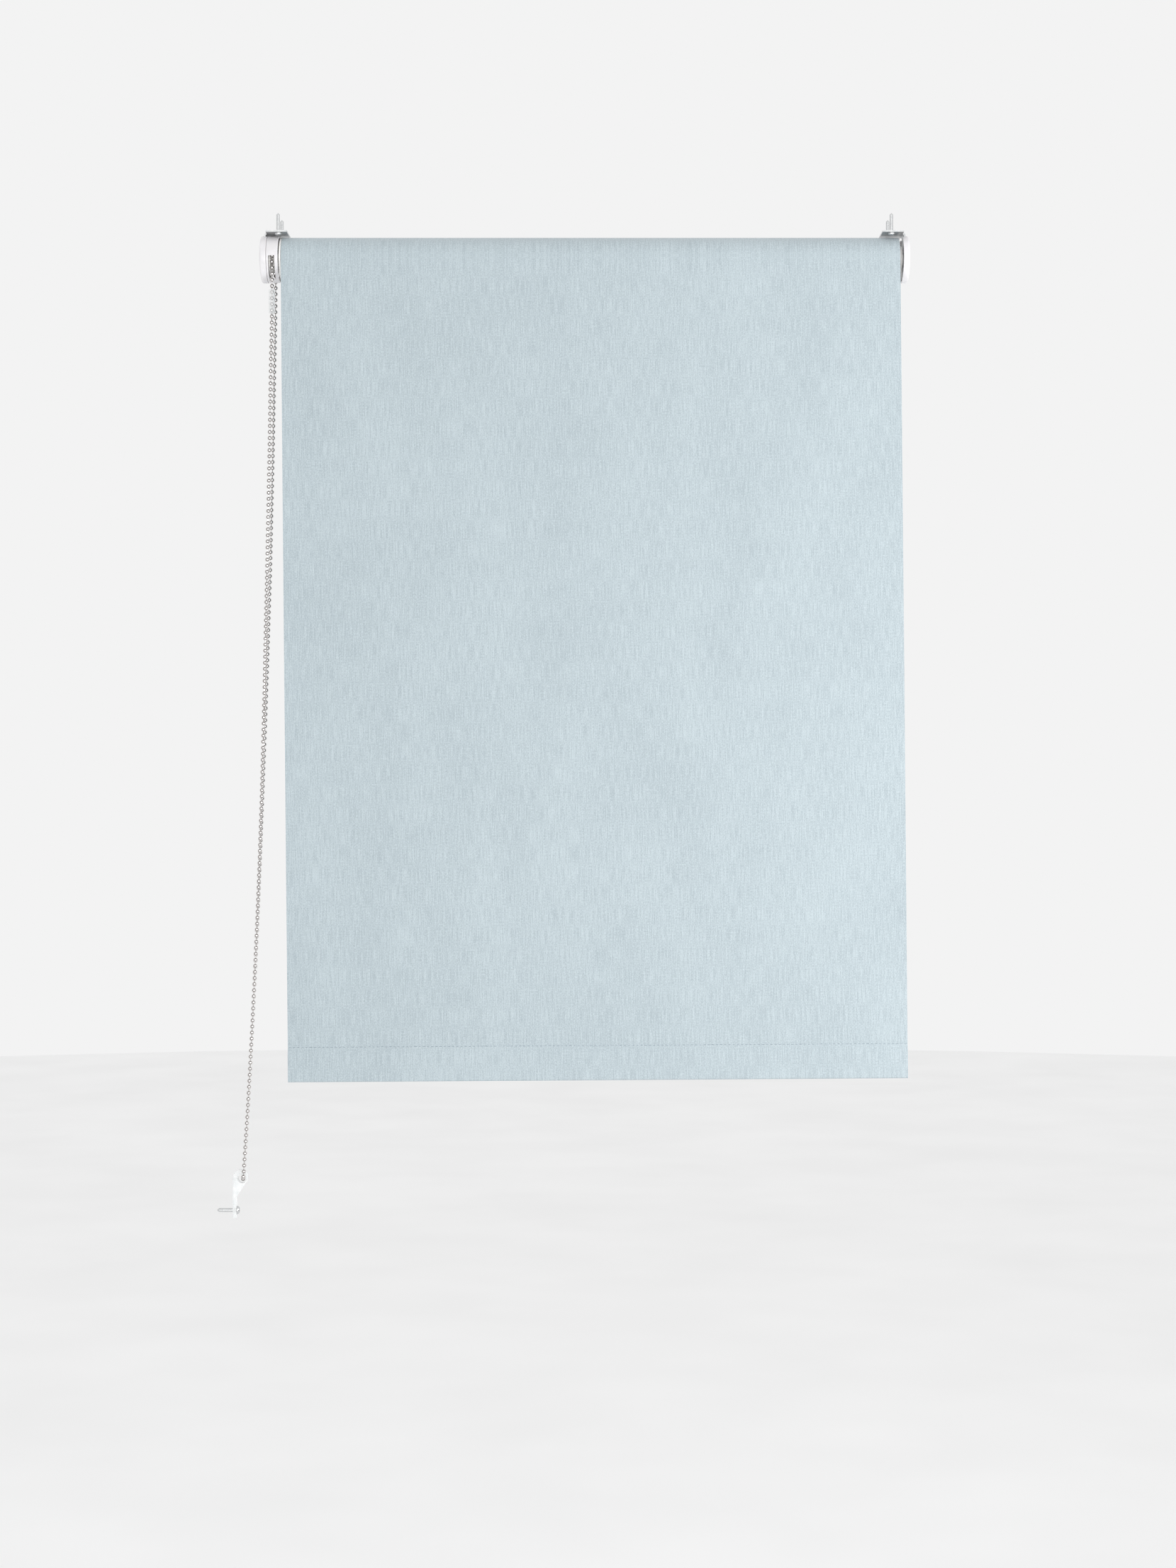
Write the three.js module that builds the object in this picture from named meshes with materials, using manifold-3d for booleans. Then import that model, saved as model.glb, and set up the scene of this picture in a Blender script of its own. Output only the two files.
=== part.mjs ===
// A roller blind with a side chain clutch, fixed to the head of a window recess.
// Millimetres. X runs along the roller, as seen from the room, +Y is towards the window
// and +Z is up. The origin is midway between the end brackets, in the plane of their top
// faces, straight above the roller's axis.

import * as THREE from 'three';
import { mergeVertices } from 'three/addons/utils/BufferGeometryUtils.js';
import Module from 'manifold-3d';

const wasm = await Module();
wasm.setup();

// ---- driving dimensions ----------------------------------------------------------------

// Overall
const overallWidth = 642.8;      // outside of one end cover to the outside of the other
const headGap = 2;               // head of the recess to the end covers
const fabricDrop = 813;          // roller's axis to the bottom edge of the fabric

// Clearances
const seatGap = 0.3;             // between pieces that rest or fit together
const runGap = 0.35;             // round a piece that turns or slides
const cutOver = 1;               // how far a cutting shape runs past what it cuts

// Brackets
const plateThickness = 1.6;
const plateInCover = 1.2;        // plate's rim to the inside of the cover
const neckHalfWidth = 9;
const bendRadius = 3;
const flangeReach = 24;
const flangeHalfWidth = 21;
const pegFromRim = 8.4;          // pegs' offset from the axis, short of the plate's radius
const pegDrop = 8;
const pegRadius = 1.5;

// Screws
const headScrewFromSide = 5.5;   // from the flange's sides
const headScrewFromEnd = 9.1;    // from the flange's end
const headScrewRadius = 1.75;
const headScrewLength = 18;
const headScrewHeadRadius = 3.4;
const headScrewHeadHeight = 2.2;
const recessWidth = 0.9;
const recessDepth = 1.2;
const crossReach = 0.55;         // cross recess's arm as a share of the head's radius

// End covers
const coverPastRoll = 2.2;       // cover's radius beyond the wound fabric's
const coverDepth = 6.9;
const coverWall = 1.4;
const coverEdgeRound = 2;
const plateSetback = 3.6;        // cover's outer face to the bracket plate's outer face
const pegShoulderRadius = 2.6;

// Clutch
const housingInCover = 0.3;      // housing's radius short of the cover's
const housingSlack = 2.7;        // housing's inner end past the chain wheel
const housingWall = 1.4;
const housingEdgeRound = 0.9;
const housingBossWall = 3.8;
const slotRoom = 1.9;            // slot's width beyond a ball's
const slotTop = 0;               // level with the axis
const slotInnerDepth = 8;        // how near the axis the slots reach
const crownGap = 0.8;            // housing to the crown's flange
const crownFlangeInset = 0.5;    // flange's radius short of the wound fabric's
const crownFlangeEdge = 0.5;
const crownFlangeThickness = 2;
const crownLength = 38;
const crownEndWall = 2;
const crownSleeveWall = 1.9;
const spindleRadius = 5;
const spindleChamfer = 1;
const shoulderStep = 1.2;        // shoulder's radius beyond the spindle's
const spigotStep = 0.8;          // square spigot's half width short of the spindle's radius
const spindleTailLength = 3;
const ringGrooveDepth = 0.9;
const ringThickness = 1;
const ringStep = 2.4;            // ring's radius beyond the spindle's
const ringOpening = 0.6;         // half of the ring's opening as a share of its bore
const fingerClearance = 0.6;     // drive fingers to the wrapped spring
const fingerThickness = 1.2;
const fingerRoom = 0.4;          // drive fingers to the crown's bore
const fingerAngle = 130;         // degrees of arc of each drive finger
const springWire = 0.5;          // radius
const springTurns = 5;
const tangShort = 0.6;           // tang's tip inside the fingers' outer radius
const tangShare = 0.8;           // tang's half width as a share of the wire's radius
const springGap = 1.2;

// Chain and chain wheel
const chainPitch = 6;
const ballRadius = 2.25;
const wheelPockets = 16;
const wheelSides = 2.5;          // wheel's width beyond a ball's
const rimRoom = 4.3;             // wheel's rim to the inside of the housing
const pocketRoom = 0.5;          // pocket's radius beyond a ball's

// Roller tube and fabric
const tubeRadius = 19;
const tubeWall = 1.2;
const grooveWidth = 3.2;
const grooveDepth = 2.6;
const splineEndGap = 6;
const fabricThickness = 0.4;
const rollThickness = 1.5;       // the wraps left on the tube with the blind down
const ribOverlap = 0.6;          // how far a rib sinks into its sleeve
const ribCount = 8;
const ribThickness = 1.6;

// Hem
const lathThickness = 3;
const lathHeight = 26;
const hemPastLath = 9.5;         // hem's height beyond the lath's
const hemTaperStart = 2;         // below the lath's top, where the pocket starts to close
const seamHalfGap = 0.15;
const lathEndGap = 4;
const hemSeam = 3.5;             // flat height above the lath, where the stitching runs

// Idler end
const idlerGap = 1.4;            // plug's boss to the cover's open edge
const idlerBossStep = 5;         // boss's radius short of the tube's
const idlerBossLength = 1.5;
const idlerBossEdge = 0.6;
const idlerCapInset = 0.2;       // end cap's radius short of the tube's
const idlerCapThickness = 0.6;
const plugLength = 38;
const plugSleeveWall = 3;
const plugWall = 2.6;
const plugBoreRoom = 0.4;        // round the pin's collar
const pinRadius = 3;
const pinChamfer = 1;
const pinTipPastPlate = 0.8;
const pinCollarStep = 2;         // collar's radius beyond the pin's
const pinCollarThickness = 3;
const pinTailStep = 0.9;         // tail's radius short of the pin's
const pinTravel = 6;
const idlerSpringWire = 0.45;
const idlerSpringTurns = 7;
const bushWall = 2;
const bushFlangeStep = 1.6;      // flange's radius beyond the bush's
const bushFlangeThickness = 0.8;

// Chain tensioner
const clipHoleOffset = [-0.6, 0.6];    // (x, z) of the hole from the chain's lowest point
const clipRingOffset = [-1.8, 1.1];    // (x, z) of the ring from the hole
const clipDepth = 8;
const clipRingWall = 3.1;        // ring's radius beyond its hole's
const clipHoleRadius = 4.4;
const clipTailThickness = 3.8;
const clipFootRound = 1.5;
const clipFootBelowScrew = 7.7;
const clipScrewDrop = 32.7;      // ring's centre to the screw
const clipGussetDrop = 19;       // ring's centre to where the gusset meets the tail
const clipScrewRadius = 2;
const clipScrewHeadRadius = 4.1;
const clipScrewHeadHeight = 2.4;
const clipScrewInWall = 16;

// ---- places worked out from them ---------------------------------------------------------

const rollInner = tubeRadius + seatGap;
const rollOuter = rollInner + rollThickness;
const coverRadius = rollOuter + coverPastRoll;
const axisDrop = coverRadius + headGap;
const axisZ = -axisDrop;
const coverOuterX = overallWidth / 2;
const coverInnerX = coverOuterX - coverDepth;
const plateOuterX = coverOuterX - plateSetback;
const plateInnerX = plateOuterX - plateThickness;
const plateRadius = coverRadius - coverWall - plateInCover;
const pegOffset = plateRadius - pegFromRim;

const wheelWidth = 2 * ballRadius + wheelSides;
const housingRadius = coverRadius - housingInCover;
const housingDepth = housingWall + seatGap + wheelWidth + housingSlack;
const housingOuterX = -coverInnerX + seatGap;
const housingInnerX = housingOuterX + housingDepth;
const crownStartX = housingInnerX + crownGap;
const fabricLeftX = crownStartX + crownFlangeThickness + seatGap;
const bossEndX = coverInnerX - idlerGap;
const capStartX = bossEndX - idlerBossLength - idlerCapThickness;
const fabricRightX = capStartX;
const tubeLeftX = fabricLeftX;
const tubeRightX = capStartX - seatGap;
const tubeBore = tubeRadius - tubeWall;

const pitchRadius = (wheelPockets * chainPitch) / (2 * Math.PI);
const chainX = housingOuterX + housingWall + seatGap + wheelWidth / 2;
const wheelStartX = chainX - wheelWidth / 2;

const dropBackY = -rollOuter - seatGap;
const dropFrontY = dropBackY - fabricThickness;
const dropMidY = (dropBackY + dropFrontY) / 2;
const hemBottomZ = axisZ - fabricDrop;
const hemTopZ = hemBottomZ + lathHeight + hemPastLath;

// ---- solids ------------------------------------------------------------------------------

// A closed three.js geometry as a solid, with its faces turned outwards.
function solid(geometry) {
  const bare = geometry.clone();
  bare.deleteAttribute('normal');
  bare.deleteAttribute('uv');
  const merged = mergeVertices(bare, 1e-4);
  const points = merged.attributes.position.array;
  const corners = merged.index.array;
  const kept = [];
  let volume = 0;
  const a = new THREE.Vector3();
  const b = new THREE.Vector3();
  const c = new THREE.Vector3();
  for (let i = 0; i < corners.length; i += 3) {
    const [p, q, r] = [corners[i], corners[i + 1], corners[i + 2]];
    if (p === q || q === r || r === p) continue;
    kept.push(p, q, r);
    a.fromArray(points, 3 * p);
    b.fromArray(points, 3 * q);
    c.fromArray(points, 3 * r);
    volume += a.dot(b.cross(c));
  }
  if (volume < 0) kept.reverse();
  const mesh = new wasm.Mesh({
    numProp: 3,
    vertProperties: new Float32Array(points),
    triVerts: new Uint32Array(kept),
  });
  return new wasm.Manifold(mesh);
}

// An outline drawn in (y, z), pushed along X from x0 to x1.
function alongX(shape, x0, x1, curveSegments = 12) {
  const settings = { depth: x1 - x0, bevelEnabled: false, curveSegments };
  const geometry = new THREE.ExtrudeGeometry(shape, settings);
  const turn = new THREE.Matrix4().makeBasis(
    new THREE.Vector3(0, 1, 0),
    new THREE.Vector3(0, 0, 1),
    new THREE.Vector3(1, 0, 0),
  );
  geometry.applyMatrix4(turn);
  geometry.translate(x0, 0, 0);
  return solid(geometry);
}

// An outline drawn in (x, z), pushed along Y from y0 to y1.
function alongY(shape, y0, y1, curveSegments = 12) {
  const settings = { depth: y1 - y0, bevelEnabled: false, curveSegments };
  const geometry = new THREE.ExtrudeGeometry(shape, settings);
  geometry.rotateX(Math.PI / 2);
  geometry.translate(0, y1, 0);
  return solid(geometry);
}

// A profile of (radius, x) points, turned about the roller's axis.
function turned(profile, segments = 48) {
  const points = profile.map(([radius, x]) => new THREE.Vector2(radius, x));
  const geometry = new THREE.LatheGeometry(points, segments);
  geometry.rotateZ(-Math.PI / 2);
  geometry.translate(0, 0, axisZ);
  return solid(geometry);
}

// A tube or washer about the roller's axis: closed profile, with a bore.
function sleeve(bore, radius, x0, x1, segments = 48) {
  return turned([[bore, x0], [radius, x0], [radius, x1], [bore, x1], [bore, x0]], segments);
}

// A rod about the roller's axis.
function rod(radius, x0, x1, segments = 32) {
  return turned([[0, x0], [radius, x0], [radius, x1], [0, x1]], segments);
}

// A rod parallel to X, at (y, z).
function rodAt(radius, x0, x1, y, z, segments = 24) {
  return rod(radius, x0, x1, segments).translate([0, y, z - axisZ]);
}

function box(x0, x1, y0, y1, z0, z1) {
  const geometry = new THREE.BoxGeometry(x1 - x0, y1 - y0, z1 - z0);
  geometry.translate((x0 + x1) / 2, (y0 + y1) / 2, (z0 + z1) / 2);
  return solid(geometry);
}

// Quarter-round points from angle a0 to a1 (degrees) about (cx, cy).
function arcPoints(cx, cy, radius, a0, a1, steps = 4) {
  const points = [];
  for (let i = 0; i <= steps; i += 1) {
    const angle = THREE.MathUtils.degToRad(a0 + ((a1 - a0) * i) / steps);
    points.push([cx + radius * Math.cos(angle), cy + radius * Math.sin(angle)]);
  }
  return points;
}

// The same solid at the other end of the roller.
function mirrored(body) {
  return body.mirror([1, 0, 0]);
}

// A wire of the given radius that follows a curve, with closed ends.
function wire(curve, radius, sides, steps) {
  const section = new THREE.Shape();
  section.absarc(0, 0, radius, 0, 2 * Math.PI, false);
  const settings = { steps, extrudePath: curve, bevelEnabled: false, curveSegments: sides / 2 };
  return solid(new THREE.ExtrudeGeometry(section, settings));
}

// A curve whose stations are spaced by its own points, not by length, so that a tight
// bend gets as many as its points ask for.
class StationCurve extends THREE.CatmullRomCurve3 {
  getUtoTmapping(u) {
    return u;
  }
}

// A coil about the roller's axis.
class Coil extends THREE.Curve {
  constructor(radius, x0, x1, turns) {
    super();
    this.radius = radius;
    this.x0 = x0;
    this.x1 = x1;
    this.turns = turns;
  }

  getPoint(t) {
    const angle = 2 * Math.PI * this.turns * t;
    const x = this.x0 + (this.x1 - this.x0) * t;
    const y = this.radius * Math.cos(angle);
    const z = axisZ + this.radius * Math.sin(angle);
    return new THREE.Vector3(x, y, z);
  }
}

const blind = new THREE.Group();

function addPiece(name, body, colour, roughness, metalness) {
  const built = body.getMesh();
  const geometry = new THREE.BufferGeometry();
  const positions = new Float32Array(built.vertProperties);
  geometry.setAttribute('position', new THREE.BufferAttribute(positions, 3));
  geometry.setIndex(new THREE.BufferAttribute(new Uint32Array(built.triVerts), 1));
  geometry.computeVertexNormals();
  const material = new THREE.MeshStandardMaterial({ color: colour, roughness, metalness });
  const mesh = new THREE.Mesh(geometry, material);
  mesh.name = name;
  blind.add(mesh);
}

const whitePlastic = ['#f1eff0', 0.35, 0];
const whiteNylon = ['#ecebe6', 0.5, 0];
const zincSteel = ['#8d9094', 0.4, 1];
const springSteel = ['#a9abae', 0.3, 1];
const nickel = ['#c9cacb', 0.15, 1];
const aluminium = ['#c3c6c9', 0.4, 1];
const clearPlastic = ['#eef2f3', 0.1, 0];
const blueCloth = ['#c4d4d9', 0.95, 0];

// ---- brackets, covers and head screws ------------------------------------------------------

const pegPlaces = [-pegOffset, pegOffset].map((y) => [y, axisZ - pegDrop]);
const headScrewX = plateOuterX - flangeReach + headScrewFromEnd;
const headScrewOffset = flangeHalfWidth - headScrewFromSide;
const headScrewPlaces = [-headScrewOffset, headScrewOffset];

// Bent steel bracket for the idler end: round plate, neck and top flange.
function bracketBlank() {
  const bend = new THREE.Shape();
  bend.moveTo(plateOuterX, axisZ - plateRadius);
  bend.lineTo(plateOuterX, -bendRadius);
  bend.absarc(plateOuterX - bendRadius, -bendRadius, bendRadius, 0, Math.PI / 2, false);
  bend.lineTo(plateOuterX - flangeReach, 0);
  bend.lineTo(plateOuterX - flangeReach, -plateThickness);
  bend.lineTo(plateOuterX - bendRadius, -plateThickness);
  const inner = bendRadius - plateThickness;
  bend.absarc(plateOuterX - bendRadius, -bendRadius, inner, Math.PI / 2, 0, true);
  bend.lineTo(plateInnerX, axisZ - plateRadius);
  bend.closePath();
  const bent = alongY(bend, -flangeHalfWidth, flangeHalfWidth, 5);
  const disc = rod(plateRadius, plateInnerX - cutOver, plateOuterX + cutOver, 48);
  const neck = box(
    plateOuterX - bendRadius, plateOuterX + cutOver,
    -neckHalfWidth, neckHalfWidth, axisZ, cutOver,
  );
  const flange = box(
    plateOuterX - flangeReach - cutOver, plateOuterX - bendRadius,
    -flangeHalfWidth, flangeHalfWidth, -plateThickness - seatGap, cutOver,
  );
  return bent.intersect(disc.add(neck).add(flange));
}

function bracket(axisHole) {
  let body = bracketBlank().subtract(axisHole);
  for (const [y, z] of pegPlaces) {
    const hole = rodAt(pegRadius + seatGap, plateInnerX - cutOver, plateOuterX + cutOver, y, z);
    body = body.subtract(hole);
  }
  for (const y of headScrewPlaces) {
    const geometry = new THREE.CylinderGeometry(
      headScrewRadius + seatGap, headScrewRadius + seatGap, plateThickness + 2 * cutOver, 20,
    );
    geometry.rotateX(Math.PI / 2);
    geometry.translate(headScrewX, y, -plateThickness / 2);
    body = body.subtract(solid(geometry));
  }
  return body;
}

// Round cap: rounded outer edge, a notch for the bracket's neck, two pegs.
function cover() {
  const shell = turned([
    [0, coverOuterX],
    ...arcPoints(coverRadius - coverEdgeRound, coverOuterX - coverEdgeRound,
      coverEdgeRound, 90, 0),
    [coverRadius, coverInnerX],
    [coverRadius - coverWall, coverInnerX],
    [coverRadius - coverWall, coverOuterX - coverWall],
    [0, coverOuterX - coverWall],
  ], 40);
  const notch = box(
    coverInnerX - cutOver, plateOuterX + seatGap,
    -neckHalfWidth - seatGap, neckHalfWidth + seatGap, axisZ + plateRadius / 2, cutOver,
  );
  let body = shell.subtract(notch);
  for (const [y, z] of pegPlaces) {
    const root = coverOuterX - coverWall / 2;
    body = body.add(rodAt(pegShoulderRadius, plateOuterX + seatGap, root, y, z));
    body = body.add(rodAt(pegRadius, plateInnerX - seatGap, root, y, z));
  }
  return body;
}

// Pan-head screw up into the head of the recess, with a cross recess.
function headScrew(x, y) {
  const seatZ = -plateThickness - seatGap;
  const footZ = seatZ - headScrewHeadHeight;
  const profile = [
    [0, footZ],
    ...arcPoints(headScrewHeadRadius - headScrewHeadHeight, seatZ, headScrewHeadHeight, 270, 360),
    [headScrewRadius, seatZ],
    [headScrewRadius, headScrewLength - headScrewRadius],
    [0, headScrewLength],
  ];
  const points = profile.map(([radius, z]) => new THREE.Vector2(radius, z));
  const geometry = new THREE.LatheGeometry(points, 20);
  geometry.rotateX(Math.PI / 2);
  let body = solid(geometry);
  const reach = headScrewHeadRadius * crossReach;
  const half = recessWidth / 2;
  const top = footZ + recessDepth;
  body = body.subtract(box(-reach, reach, -half, half, footZ - cutOver, top));
  body = body.subtract(box(-half, half, -reach, reach, footZ - cutOver, top));
  return body.translate([x, y, 0]);
}

const bushRadius = pinRadius + bushWall;
const shoulderRadius = spindleRadius + shoulderStep;
const spigotHalfWidth = spindleRadius - spigotStep;
const bushHole = rod(bushRadius + seatGap, plateInnerX - cutOver, plateOuterX + cutOver);
const spigotHole = box(
  plateInnerX - cutOver, plateOuterX + cutOver,
  -spigotHalfWidth - seatGap, spigotHalfWidth + seatGap,
  axisZ - spigotHalfWidth - seatGap, axisZ + spigotHalfWidth + seatGap,
);
addPiece('control_bracket', mirrored(bracket(spigotHole)), ...zincSteel);
addPiece('idler_bracket', bracket(bushHole), ...zincSteel);
addPiece('control_cover', mirrored(cover()), ...whitePlastic);
addPiece('idler_cover', cover(), ...whitePlastic);
headScrewPlaces.forEach((y, index) => {
  addPiece(`control_head_screw_${index + 1}`, headScrew(-headScrewX, y), ...zincSteel);
  addPiece(`idler_head_screw_${index + 1}`, headScrew(headScrewX, y), ...zincSteel);
});

// ---- clutch -------------------------------------------------------------------------------

// Drum with a closed outer end, a boss that rests on the bracket, and a chain slot at the
// front and at the back.
function clutchHousing() {
  const inside = housingRadius - housingWall;
  let body = turned([
    [shoulderRadius + seatGap, housingOuterX],
    ...arcPoints(housingRadius - housingEdgeRound, housingOuterX + housingEdgeRound,
      housingEdgeRound, 270, 360, 3),
    ...arcPoints(housingRadius - housingEdgeRound, housingInnerX - housingEdgeRound,
      housingEdgeRound, 0, 60, 3),
    [inside, housingInnerX],
    [inside, housingOuterX + housingWall],
    [shoulderRadius + seatGap, housingOuterX + housingWall],
    [shoulderRadius + seatGap, housingOuterX],
  ], 48);
  const boss = sleeve(shoulderRadius + seatGap, shoulderRadius + housingBossWall,
    -plateInnerX + seatGap, housingOuterX + housingWall / 2);
  body = body.add(boss);
  const slotWidth = 2 * ballRadius + slotRoom;
  const slotX0 = chainX - slotWidth / 2;
  const slotX1 = chainX + slotWidth / 2;
  const far = housingRadius + cutOver;
  const low = axisZ - far;
  const front = box(slotX0, slotX1, -far, -slotInnerDepth, low, axisZ + slotTop);
  const back = box(slotX0, slotX1, slotInnerDepth, far, low, axisZ + slotTop);
  return body.subtract(front).subtract(back);
}

const crownEndX = fabricLeftX + crownLength;
const ringX0 = crownEndX + seatGap;
const spindleEndX = ringX0 + ringThickness + seatGap + spindleTailLength;
const coilRadius = spindleRadius + seatGap + springWire;
const fingerInnerRadius = coilRadius + springWire + fingerClearance;
const fingerOuterRadius = fingerInnerRadius + fingerThickness;

// Fixed shaft: square spigot through the bracket, round shoulder in the housing, long
// journal for the wheel and the crown, and a groove for the retaining ring.
function clutchSpindle() {
  const grooveFloor = spindleRadius - ringGrooveDepth;
  const shoulderEnd = housingOuterX + housingWall;
  const round = turned([
    [0, -plateInnerX + seatGap],
    [shoulderRadius, -plateInnerX + seatGap],
    [shoulderRadius, shoulderEnd],
    [spindleRadius, shoulderEnd],
    [spindleRadius, ringX0 - seatGap / 2],
    [grooveFloor, ringX0 - seatGap / 2],
    [grooveFloor, ringX0 + ringThickness + seatGap],
    [spindleRadius, ringX0 + ringThickness + seatGap],
    [spindleRadius, spindleEndX - spindleChamfer],
    [spindleRadius - spindleChamfer, spindleEndX],
    [0, spindleEndX],
  ], 32);
  const spigot = box(
    -plateOuterX - seatGap, -plateInnerX + cutOver,
    -spigotHalfWidth, spigotHalfWidth, axisZ - spigotHalfWidth, axisZ + spigotHalfWidth,
  );
  return round.add(spigot);
}

// Part of a sleeve about the axis, fingerAngle wide, centred at a given angle.
function finger(centre, x0, x1) {
  const a0 = THREE.MathUtils.degToRad(centre - fingerAngle / 2);
  const a1 = THREE.MathUtils.degToRad(centre + fingerAngle / 2);
  const shape = new THREE.Shape();
  shape.absarc(0, axisZ, fingerOuterRadius, a0, a1, false);
  shape.absarc(0, axisZ, fingerInnerRadius, a1, a0, true);
  shape.closePath();
  return alongX(shape, x0, x1, 12);
}

const springZoneX0 = crownStartX + crownFlangeThickness;
const springZoneX1 = crownEndX - crownEndWall;
const springLength = (springZoneX1 - springZoneX0 - 3 * springGap) / 2;
const wheelFingerEndX = springZoneX1 - springGap;

// Chain wheel: hub on the spindle, a groove for the chain with a pocket for each ball in
// its rims, and a drive finger that reaches along inside the crown.
function chainWheel() {
  const end = wheelStartX + wheelWidth;
  const floor = pitchRadius - ballRadius - runGap;
  const halfGroove = ballRadius + runGap;
  const bore = spindleRadius + runGap;
  const wheelRimRadius = housingRadius - housingWall - rimRoom;
  let body = turned([
    [bore, wheelStartX],
    [wheelRimRadius, wheelStartX],
    [wheelRimRadius, chainX - halfGroove],
    [floor, chainX - halfGroove],
    [floor, chainX + halfGroove],
    [wheelRimRadius, chainX + halfGroove],
    [wheelRimRadius, end],
    [fingerOuterRadius, end],
    [fingerOuterRadius, crownStartX - seatGap],
    [bore, crownStartX - seatGap],
    [bore, wheelStartX],
  ], 48);
  for (let i = 0; i < wheelPockets; i += 1) {
    const angle = (2 * Math.PI * i) / wheelPockets;
    const ball = new THREE.SphereGeometry(ballRadius + pocketRoom, 8, 5);
    ball.translate(chainX, pitchRadius * Math.cos(angle), axisZ + pitchRadius * Math.sin(angle));
    body = body.subtract(solid(ball));
  }
  return body.add(finger(90, crownStartX - seatGap - cutOver, wheelFingerEndX));
}

// Ribs that fill the space between a sleeve and the tube's bore.
function ribs(sleeveRadius, x0, x1) {
  let body = null;
  const outer = tubeBore - seatGap;
  const inner = sleeveRadius - ribOverlap;
  for (let i = 0; i < ribCount; i += 1) {
    const angle = (360 * (i + 0.5)) / ribCount;
    const rib = box(x0, x1, inner, outer, -ribThickness / 2, ribThickness / 2);
    const placed = rib.rotate([angle, 0, 0]).translate([0, 0, axisZ]);
    body = body ? body.add(placed) : placed;
  }
  return body;
}

// Drive crown: flange, ribbed sleeve inside the tube, end wall that runs on the spindle,
// and the second drive finger.
function driveCrown() {
  const flangeEnd = crownStartX + crownFlangeThickness;
  const crownFlangeRadius = rollOuter - crownFlangeInset;
  const crownBoreRadius = fingerOuterRadius + fingerRoom;
  const crownSleeveRadius = crownBoreRadius + crownSleeveWall;
  const body = turned([
    [crownBoreRadius, crownStartX],
    [crownFlangeRadius - crownFlangeEdge, crownStartX],
    [crownFlangeRadius, crownStartX + crownFlangeEdge],
    [crownFlangeRadius, flangeEnd],
    [crownSleeveRadius, flangeEnd],
    [crownSleeveRadius, crownEndX],
    [spindleRadius + runGap, crownEndX],
    [spindleRadius + runGap, crownEndX - crownEndWall],
    [crownBoreRadius, crownEndX - crownEndWall],
    [crownBoreRadius, crownStartX],
  ], 48);
  const keyed = ribs(crownSleeveRadius, flangeEnd - seatGap, crownEndX);
  const follower = finger(270, springZoneX0, crownEndX - crownEndWall / 2);
  return body.add(keyed).add(follower);
}

// Brake spring: wire wrapped on the spindle, with a tang turned out at each end.
function wrapSpring(x0) {
  const coil = new Coil(coilRadius, x0, x0 + springLength, springTurns);
  let body = wire(coil, springWire, 6, springTurns * 12);
  for (const x of [x0, x0 + springLength]) {
    const half = springWire * tangShare;
    const tang = box(
      x - half, x + half,
      coilRadius - springWire / 2, fingerOuterRadius - tangShort,
      axisZ - half, axisZ + half,
    );
    body = body.add(tang);
  }
  return body;
}

// Circlip: open ring in the spindle's groove.
function retainingRing() {
  const bore = spindleRadius - ringGrooveDepth + seatGap;
  const ringRadius = spindleRadius + ringStep;
  const half = bore * ringOpening;
  const ring = sleeve(bore, ringRadius, ringX0, ringX0 + ringThickness, 36);
  const gap = box(ringX0 - cutOver, ringX0 + ringThickness + cutOver,
    -half, half, axisZ - ringRadius - cutOver, axisZ);
  return ring.subtract(gap);
}

addPiece('clutch_housing', clutchHousing(), ...whitePlastic);
addPiece('clutch_spindle', clutchSpindle(), ...whiteNylon);
addPiece('chain_wheel', chainWheel(), ...whiteNylon);
addPiece('drive_crown', driveCrown(), ...whiteNylon);
addPiece('wrap_spring_1', wrapSpring(springZoneX0 + springGap), ...springSteel);
addPiece('wrap_spring_2', wrapSpring(springZoneX0 + 2 * springGap + springLength), ...springSteel);
addPiece('retaining_ring', retainingRing(), ...springSteel);

// ---- roller tube, spline and fabric -----------------------------------------------------------

// Tube outline with the groove for the spline at the top, pressed inwards.
function rollerTube() {
  const ring = sleeve(tubeBore, tubeRadius, tubeLeftX, tubeRightX, 64);
  const half = grooveWidth / 2;
  const floorZ = axisZ + tubeRadius - grooveDepth;
  const pocket = box(tubeLeftX, tubeRightX, -half - tubeWall, half + tubeWall,
    floorZ - tubeWall, axisZ + tubeBore + tubeWall / 3);
  const groove = box(tubeLeftX - cutOver, tubeRightX + cutOver, -half, half,
    floorZ, axisZ + tubeRadius + cutOver);
  return ring.add(pocket).subtract(groove);
}

function fabricSpline() {
  const half = grooveWidth / 2 - seatGap;
  const floorZ = axisZ + tubeRadius - grooveDepth + seatGap;
  const topZ = axisZ + tubeRadius - seatGap;
  return box(tubeLeftX + splineEndGap, tubeRightX - splineEndGap, -half, half, floorZ, topZ);
}

addPiece('roller_tube', rollerTube(), ...aluminium);
addPiece('fabric_spline', fabricSpline(), ...whitePlastic);
addPiece('fabric_roll', sleeve(rollInner, rollOuter, fabricLeftX, fabricRightX, 72), ...blueCloth);
addPiece('fabric_drop', box(
  fabricLeftX, fabricRightX, dropFrontY, dropBackY, hemTopZ + seatGap, axisZ,
), ...blueCloth);

// ---- hem and bottom lath --------------------------------------------------------------------

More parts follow.
